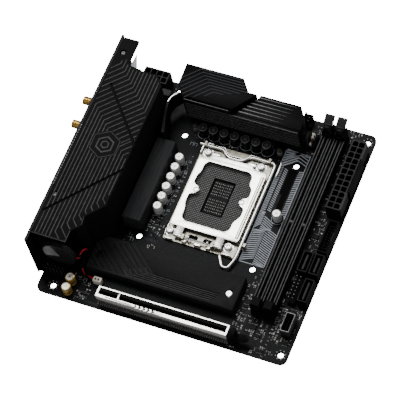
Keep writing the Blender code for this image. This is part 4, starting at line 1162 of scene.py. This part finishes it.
def rear_panel():
    """Spring fingers along the panel's upper edge, and the folded flange between the panel and the board."""
    _, _, z = limits("io_shield")
    fingers = Piece("panel_fingers", DULL_STEEL)
    for py in steps(56.4, 101.0, 24):
        fingers.box((-3.45, -2.8), near(py, 0.5), (z[1] - 0.5, z[1] - 0.05))
    fingers.done("steel", bevel=0.08, segments=1)
    flange = Piece("panel_flange", DARK_STEEL)
    flange.box((-3.95, -0.1), (13.8, 171.9), (-0.7, -0.1))
    flange.strip([(-3.7, 13.8), (-3.7, 19.4)], 0.4, (-0.2, 30.0))
    flange.done("dark_steel", bevel=0.08, segments=1)


def antenna_jacks():
    for number in (1, 2):
        node = f"antenna_jack_{number}"
        x, y, z = limits(node)
        centre_y, centre_z = middle(y), middle(z)
        tip = x[0]
        profile = [(2.55, 0), (2.75, 0.25)]
        for turn in range(9):
            profile += [(2.88, 0.45 + 0.55 * turn), (2.6, 0.72 + 0.55 * turn)]
        profile += [(2.8, 5.6), (2.8, 9.4), (2.4, 9.5), (2.4, 14.2)]
        jack = Piece(f"{node}_barrel", GOLD)
        jack.lathe(profile, (tip, centre_y, centre_z), (1, 0, 0), 32)
        jack.lathe([(3.6, 0), (4.0, 0.3), (4.0, 1.9), (3.6, 2.2)], (-7.1, centre_y, centre_z), (1, 0, 0), 6)
        jack.box((0.5, 9.0), near(centre_y, 4), near(centre_z, 4))
        bore = Piece("bore").rod((tip - 1, centre_y, centre_z), (tip + 6, centre_y, centre_z), 1.9, sides=24)
        jack.done("gold", replaces=[node], bevel=0.06, segments=1, cutters=[bore])
        core = Piece(f"{node}_core", WHITE, GOLD)
        core.rod((tip + 2.4, centre_y, centre_z), (tip + 6.2, centre_y, centre_z), 1.85)
        core.rod((tip + 0.8, centre_y, centre_z), (tip + 3.0, centre_y, centre_z), 0.5, 1)
        core.done("gold")


def ports():
    """Tongues and contacts inside the rear ports, and a collar round each audio jack."""
    inside = Piece("port_tongues", BLUE, GOLD, BLACK)
    front = -4.3
    for node, rows, base in (("usb_port_block_1", 4, 2.6), ("usb_port_block_2", 4, 2.6), ("lan_port", 2, 15.4)):
        _, y, _ = limits(node)
        for row in range(rows):
            low = base + 7.6 * row
            inside.box((front + 1.0, front + 8.4), shrink(y, 2.4), (low + 2.9, low + 4.7))
            for py in steps(middle(y) - 3.6, middle(y) + 3.6, 4):
                inside.box((front + 1.6, front + 7.0), near(py, 0.5), (low + 2.78, low + 2.95), 1)
    _, y, _ = limits("lan_port")
    for py in steps(middle(y) - 3.2, middle(y) + 3.2, 8):
        inside.box((front + 3.0, front + 12.0), near(py, 0.22), (10.7, 11.3), 1)
    inside.done("black_plastic")
    audio = Piece("audio_jack_rings", BLACK, GOLD)
    _, y, _ = limits("audio_jack_block")
    for z in (7.0, 17.5, 28.0):
        ring = [circle((0, 0), 3.4, 32), circle((0, 0), 1.9, 32)]
        face = Matrix.Translation(Vector((front, middle(y), z))) @ Matrix.Rotation(-math.pi / 2, 4, "Y")
        audio.prism(ring, (-0.1, 0.35), 0, face)
        audio.prism([circle((0, 0), 2.2, 32), circle((0, 0), 1.86, 32)], (0.3, 0.42), 1, face)
    audio.done("black_plastic")


# ---------------------------------------------------------------- heatsinks

VRM_FRONT = 142.3
VRM_LEFT = ((42.0, 151.9), (49.2, VRM_FRONT), (81.1, VRM_FRONT), (94.0, 159.3), (88.3, 159.3), (81.6, 168.1),
            (41.6, 168.1), (42.0, 156.0))
VRM_RIGHT = ((82.3, VRM_FRONT), (128.2, VRM_FRONT), (128.9, 146.0), (127.8, 154.6), (123.0, 161.6), (95.4, 161.6),
             (94.6, 158.8))
LEFT_TOP = 34.0
RIGHT_TOP = 30.0
FIN_PITCH = 3.2


def upper_heatsink():
    sink = Piece("phase_heatsink", ANODISED)
    fins = [(13.0 + FIN_PITCH * i, 14.6 + FIN_PITCH * i) for i in range(7)]
    sink.prism(list(VRM_LEFT), (11.0, LEFT_TOP - 0.5))
    sink.prism(list(VRM_RIGHT), (11.0, RIGHT_TOP - 0.5))
    sink.box((60, 100), (150.0, 158.0), (11.5, LEFT_TOP - 8))
    sink.box((52.0, 120.0), (150.4, 157.6), (1.3, 12.0))
    grooves = Piece("grooves")
    for low, high in fins:
        grooves.box((30, 140), (138, VRM_FRONT + 1.9), (low, high))
    sink.done("black_anodised", replaces=["vrm_heatsink_top"], bevel=0.3, cutters=[grooves])

    # Light strips along the fin edges and the left block's front edge: painted highlight where the edges catch the
    # light.
    edges = Piece("phase_heatsink_fin_highlights", ANODISED_HIGHLIGHT)
    for low, high in fins:
        for level in (low - 0.28, high):
            if level < RIGHT_TOP - 1:
                edges.box((50.0, 127.8), (VRM_FRONT - 0.08, VRM_FRONT + 0.3), (level, level + 0.28))
    edges.box((50.0, 80.6), (VRM_FRONT - 0.06, VRM_FRONT + 0.3), (LEFT_TOP - 0.75, LEFT_TOP - 0.45))
    edges.done("black_anodised", bevel=0.06, segments=1)

    ridges = Piece("phase_heatsink_left_ridges", COPPER)
    for number in range(10):
        bend = Vector((52.6 + 2.0 * number, 166.6 - 2.0 * number))
        ridges.strip([bend - Vector((22, 22)), bend, (96, bend.y)], 1.0, (LEFT_TOP - 0.7, LEFT_TOP - 0.25),
                     top=0.7)
    inset = [(42.8, 152.6), (49.6, VRM_FRONT + 0.9), (87.6, 158.2), (81.2, 167.2), (42.6, 167.2)]
    ridges.done("black_anodised", keep=Piece("inset").prism(inset, (LEFT_TOP - 2, LEFT_TOP + 1)))

    # Raised ridges on the right block, tapering to nothing towards the right and drawn light grey: painted
    # highlight that fades out along them.
    ridges = Piece("phase_heatsink_right_ridge_highlights", ANODISED_HIGHLIGHT)
    for number in range(6):
        y = 159.6 - 2.7 * number
        start, end = 84.6, 121.0 - 1.2 * number
        ridges.prism([(start, y - 0.45), (end - 12, y - 0.2), (end, y - 0.03), (end, y + 0.03),
                      (end - 12, y + 0.2), (start, y + 0.45)], (RIGHT_TOP - 0.7, RIGHT_TOP - 0.2))
    inset = [(84.0, VRM_FRONT + 0.9), (127.4, VRM_FRONT + 0.9), (128.0, 146.2), (126.8, 154.2), (122.4, 160.8),
             (96.0, 160.8)]
    ridges.done("black_anodised", keep=Piece("inset").prism(inset, (RIGHT_TOP - 2, RIGHT_TOP + 1)))


def side_heatsink():
    x, y, z = limits("vrm_heatsink_side")
    bar = Piece("side_heatsink", ANODISED_SIDE)
    bar.box(x, y, z)
    bar.done("black_anodised", replaces=["vrm_heatsink_side"], bevel=0.45, segments=3)


def heat_pipe():
    route = smooth([(41.6, 121.5, 0), (39.2, 130.0, 0), (36.9, 138.6, 0), (36.3, 143.8, 0), (37.5, 148.4, 0),
                    (41.0, 152.9, 0)], 8)
    _, _, z = limits("heat_pipe")
    pipe = Piece("heat_pipe_wall", DARK_STEEL)
    pipe.strip(route, 1.7, (z[0], z[1] - 0.9))
    pipe.done("nickel", replaces=["heat_pipe"])
    # The pipe's bright plated top edge, laid only along the last stretch where the highlight shows: partly the
    # nickel edge, partly painted highlight.
    edge = Piece("heat_pipe_highlight_edge", STEEL)
    edge.tube([Vector((p.x, p.y, z[1] - 0.9)) for p in route[-17:]], 0.9, sides=16)
    edge.done("nickel")


M2_OUTLINE = ((27.5, 22.5), (127.5, 22.5), (127.5, 46.5), (33.0, 46.5), (27.5, 41.0))


def drive_heatsink():
    _, _, z = limits("m2_heatsink")
    top = z[1]
    seats = Piece("seats")
    centres = []
    for number in (1, 2):
        sx, sy, _ = limits(f"m2_screw_{number}")
        centres.append((middle(sx), middle(sy)))
        seats.prism(circle(centres[-1], 2.6, 28), (top - 1.6, top + 2))
        seats.prism(circle(centres[-1], 1.5, 24), (-1, top))
    grooves = Piece("grooves")
    for number in range(5):
        y = 30.4 - 1.32 * number
        bend = 71.5 - 3.2 * number
        grooves.strip([(bend - 20.0, y + 17.0), (bend, y), (116.0 - 0.8 * number, y)], 0.62, (top - 0.5, top + 1))
    for number in range(8):
        foot = 53.0 - 4.6 * number
        grooves.strip([(foot, 24.0), (foot - 26.0, 46.1)], 1.2, (top - 0.35, top + 1))
    sink = Piece("drive_heatsink", ANODISED_PLATE)
    sink.prism(list(M2_OUTLINE), z)
    sink.done("black_anodised", replaces=["m2_heatsink"], bevel=0.35, cutters=[seats, grooves])
    # Thin light lines beside the grooves: painted highlight.
    lines = Piece("drive_heatsink_highlight_lines", COVER_LINE)
    for number in range(5):
        y = 29.7 - 1.32 * number
        lines.strip([(64.0 - 3.0 * number, y + 3.2), (67.5 - 3.2 * number, y), (115.0 - 0.8 * number, y)], 0.3,
                    (top - 0.2, top + 0.03))
    lines.done("black_anodised")
    for number, (x, y) in enumerate(centres, 1):
        node = f"m2_screw_{number}"
        _, _, sz = limits(node)
        screw = Piece(f"{node}_head", DARK_STEEL if number == 1 else STEEL)
        screw.lathe([(1.1, 0), (1.1, sz[1] - sz[0] - 1.5), (2.2, sz[1] - sz[0] - 1.5), (2.2, sz[1] - sz[0] - 0.4),
                     (1.7, sz[1] - sz[0])], (x, y, sz[0]), sides=28)
        cross = Piece("cross")
        for turn in (35, 125):
            cross.box(near(x, 1.2), near(y, 0.28), (sz[1] - 0.7, sz[1] + 1), 0,
                      turned("Z", turn, (x, y, 0)))
        screw.done("steel", replaces=[node], cutters=[cross])


# ---------------------------------------------------------------- battery

LEAD_ROUTE = ((23.9, 21.8, 19.0), (25.6, 22.3, 19.7), (26.4, 25.0, 20.8), (26.6, 28.0, 19.4), (25.9, 30.0, 16.0),
              (24.9, 29.4, 11.6), (24.4, 27.0, 7.4), (24.6, 23.6, 4.8), (26.4, 20.6, 3.6), (30.0, 17.9, 3.3),
              (34.4, 16.9, 3.4))


def battery():
    x, y, z = limits("battery")
    centre, radius = (middle(x), middle(z)), (x[1] - x[0]) / 2
    thick = y[1] - y[0]
    cell = Piece("coin_battery", SLEEVE_DARK, SLEEVE_HIGHLIGHT)
    cell.lathe([(radius - 0.7, 0), (radius - 0.15, 0.35), (radius, 1.0), (radius, thick - 1.0),
                (radius - 0.15, thick - 0.35), (radius - 0.7, thick)], (centre[0], y[0], centre[1]), (0, 1, 0), 64)
    face = Matrix.Translation(Vector((centre[0], y[0], centre[1]))) @ Matrix.Rotation(math.pi / 2, 4, "X")
    # A thin light grey sector on the cell's face: painted highlight.
    highlight_sector = [(0.6, -1.2)] + [((radius - 1.0) * math.cos(t), (radius - 1.0) * math.sin(t))
                            for t in steps(math.radians(112), math.radians(206), 16)]
    cell.prism(highlight_sector, (-0.1, 0.06), 1, face)
    cell.done("battery_sleeve", replaces=["battery"])
    wires = Piece("battery_wires", RED, BLACK)
    path = smooth(LEAD_ROUTE, 6)
    for number in (0, 1):
        twist = []
        for index, point in enumerate(path):
            ahead = (path[min(index + 1, len(path) - 1)] - path[max(index - 1, 0)]).normalized()
            side = ahead.cross(Vector((0.3, 0.2, 1))).normalized()
            other = ahead.cross(side)
            turn = index * 0.28 + math.pi * number
            twist.append(point + (side * math.cos(turn) + other * math.sin(turn)) * 0.56)
        wires.tube(twist, 0.54, number, 12)
    # A thicker black tube over the middle stretch of the lead, darkening it: painted shade.
    wires.tube(path[24:46], 1.12, 1, 14)
    wires.done("red_wire", replaces=["battery_lead"])
    x, y, z = limits("battery_connector")
    plug = Piece("battery_plug", WHITE, FIELD)
    plug.box(x, y, (z[0], z[1]))
    plug.box((x[0] - 0.3, x[0] + 0.6), shrink(y, 0.4), (z[0], z[1] - 1.6))
    plug.box((x[0] + 1.0, x[0] + 2.0), shrink(y, 0.9), (z[1] - 0.05, z[1] + 0.02), 1)
    plug.box((x[0] + 3.0, x[0] + 4.0), shrink(y, 0.9), (z[1] - 0.05, z[1] + 0.02), 1)
    plug.done("white_plastic", replaces=["battery_connector"], bevel=0.2)


# ---------------------------------------------------------------- carried-over CAD pieces

CARRIED = {
    "pcb": BOARD, "socket_backplate": DARK_STEEL, "socket_housing": DARK_GREY, "socket_frame": SHADED_FRAME_STEEL,
    "socket_hinge_pin": STEEL, "pcie_slot": BLACK, "io_shield": DARK_STEEL, "audio_jack_block": BLACK,
    "usb_port_block_1": STEEL, "usb_port_block_2": STEEL, "lan_port": STEEL, "display_port_block": STEEL,
    "button_switches": BLACK, "bios_button": GREY, "clear_cmos_button": GREY,
}


def carried_over():
    for name, material in CARRIED.items():
        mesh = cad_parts[name].data
        mesh.materials.clear()
        mesh.materials.append(material)


# ---------------------------------------------------------------- stage, lights and camera

CAMERA_AIM = (-0.00015, 0.004075, 0.0079)
CAMERA_AZIMUTH, CAMERA_ELEVATION, CAMERA_ROLL = -54.21, 59.83, -15.85
CAMERA_DISTANCE = 1.3714
CAMERA_LENS = 193.35
SENSOR_WIDTH = 36.0
FLOOR_HALF = 3.0
FLOOR_GAP = 0.0004                          # keeps the floor clear of the part's underside
WORLD_STRENGTH = 0.24
LIGHTS = (
    # name, azimuth, elevation, distance, size, watts
    ("overhead", CAMERA_AZIMUTH + 180, 60, 1.1, (0.62, 0.50), 9),
    ("side", 60, 40, 1.4, (0.6, 1.0), 6),
    ("front", CAMERA_AZIMUTH - 30, 35, 1.6, (0.8, 0.5), 4),
)


def pointing(azimuth, elevation):
    """The direction from the object towards a light or camera."""
    a, e = math.radians(azimuth), math.radians(elevation)
    return Vector((math.cos(e) * math.cos(a), math.cos(e) * math.sin(a), math.sin(e)))


def area_light(name, azimuth, elevation, distance, size, power):
    lamp = bpy.data.lights.new(name, "AREA")
    lamp.shape = "RECTANGLE"
    lamp.size, lamp.size_y = size
    lamp.energy = power
    obj = bpy.data.objects.new(name, lamp)
    back = pointing(azimuth, elevation)
    obj.location = Vector(CAMERA_AIM) + back * distance
    obj.rotation_euler = back.to_track_quat("Z", "Y").to_euler()
    bpy.context.scene.collection.objects.link(obj)


def stage():
    floor = bpy.data.meshes.new("floor")
    span = (-FLOOR_HALF, FLOOR_HALF)
    floor.from_pydata([(*corner, 0) for corner in rectangle(span, span)], [], [(0, 1, 2, 3)])
    floor.materials.append(FLOOR)
    obj = bpy.data.objects.new("floor", floor)
    obj.location.z = CAD_BOUNDS[0][2] - FLOOR_GAP
    obj.visible_diffuse = obj.visible_glossy = False
    bpy.context.scene.collection.objects.link(obj)
    world = bpy.data.worlds.new("studio")
    world.use_nodes = True
    backdrop = world.node_tree.nodes["Background"]
    backdrop.inputs["Color"].default_value = (1, 1, 1, 1)
    backdrop.inputs["Strength"].default_value = WORLD_STRENGTH
    bpy.context.scene.world = world
    for light in LIGHTS:
        area_light(*light)
    camera = bpy.data.cameras.new("camera")
    camera.lens = CAMERA_LENS
    camera.sensor_width = SENSOR_WIDTH
    camera.clip_end = 20.0
    obj = bpy.data.objects.new("camera", camera)
    back = pointing(CAMERA_AZIMUTH, CAMERA_ELEVATION)
    right = UP.cross(back).normalized()
    turn = Matrix((right, back.cross(right), back)).transposed().to_4x4()
    roll = Matrix.Rotation(math.radians(CAMERA_ROLL), 4, "Z")
    obj.matrix_world = Matrix.Translation(Vector(CAMERA_AIM) + back * CAMERA_DISTANCE) @ turn @ roll
    bpy.context.scene.collection.objects.link(obj)
    bpy.context.scene.camera = obj


def motherboard():
    carried_over()
    solder_points()
    board_tracks()
    board_graphic()
    small_parts()
    print_marks()
    contact_field()
    load_plate()
    lever()
    socket_frame_details()
    socket_screws()
    capacitors()
    chokes()
    memory_slots()
    memory_latches()
    expansion_slot()
    expansion_latch()
    power_connectors()
    headers()
    rear_cover()
    cover_screws()
    rear_panel()
    antenna_jacks()
    ports()
    upper_heatsink()
    side_heatsink()
    heat_pipe()
    drive_heatsink()
    battery()


motherboard()
stage()
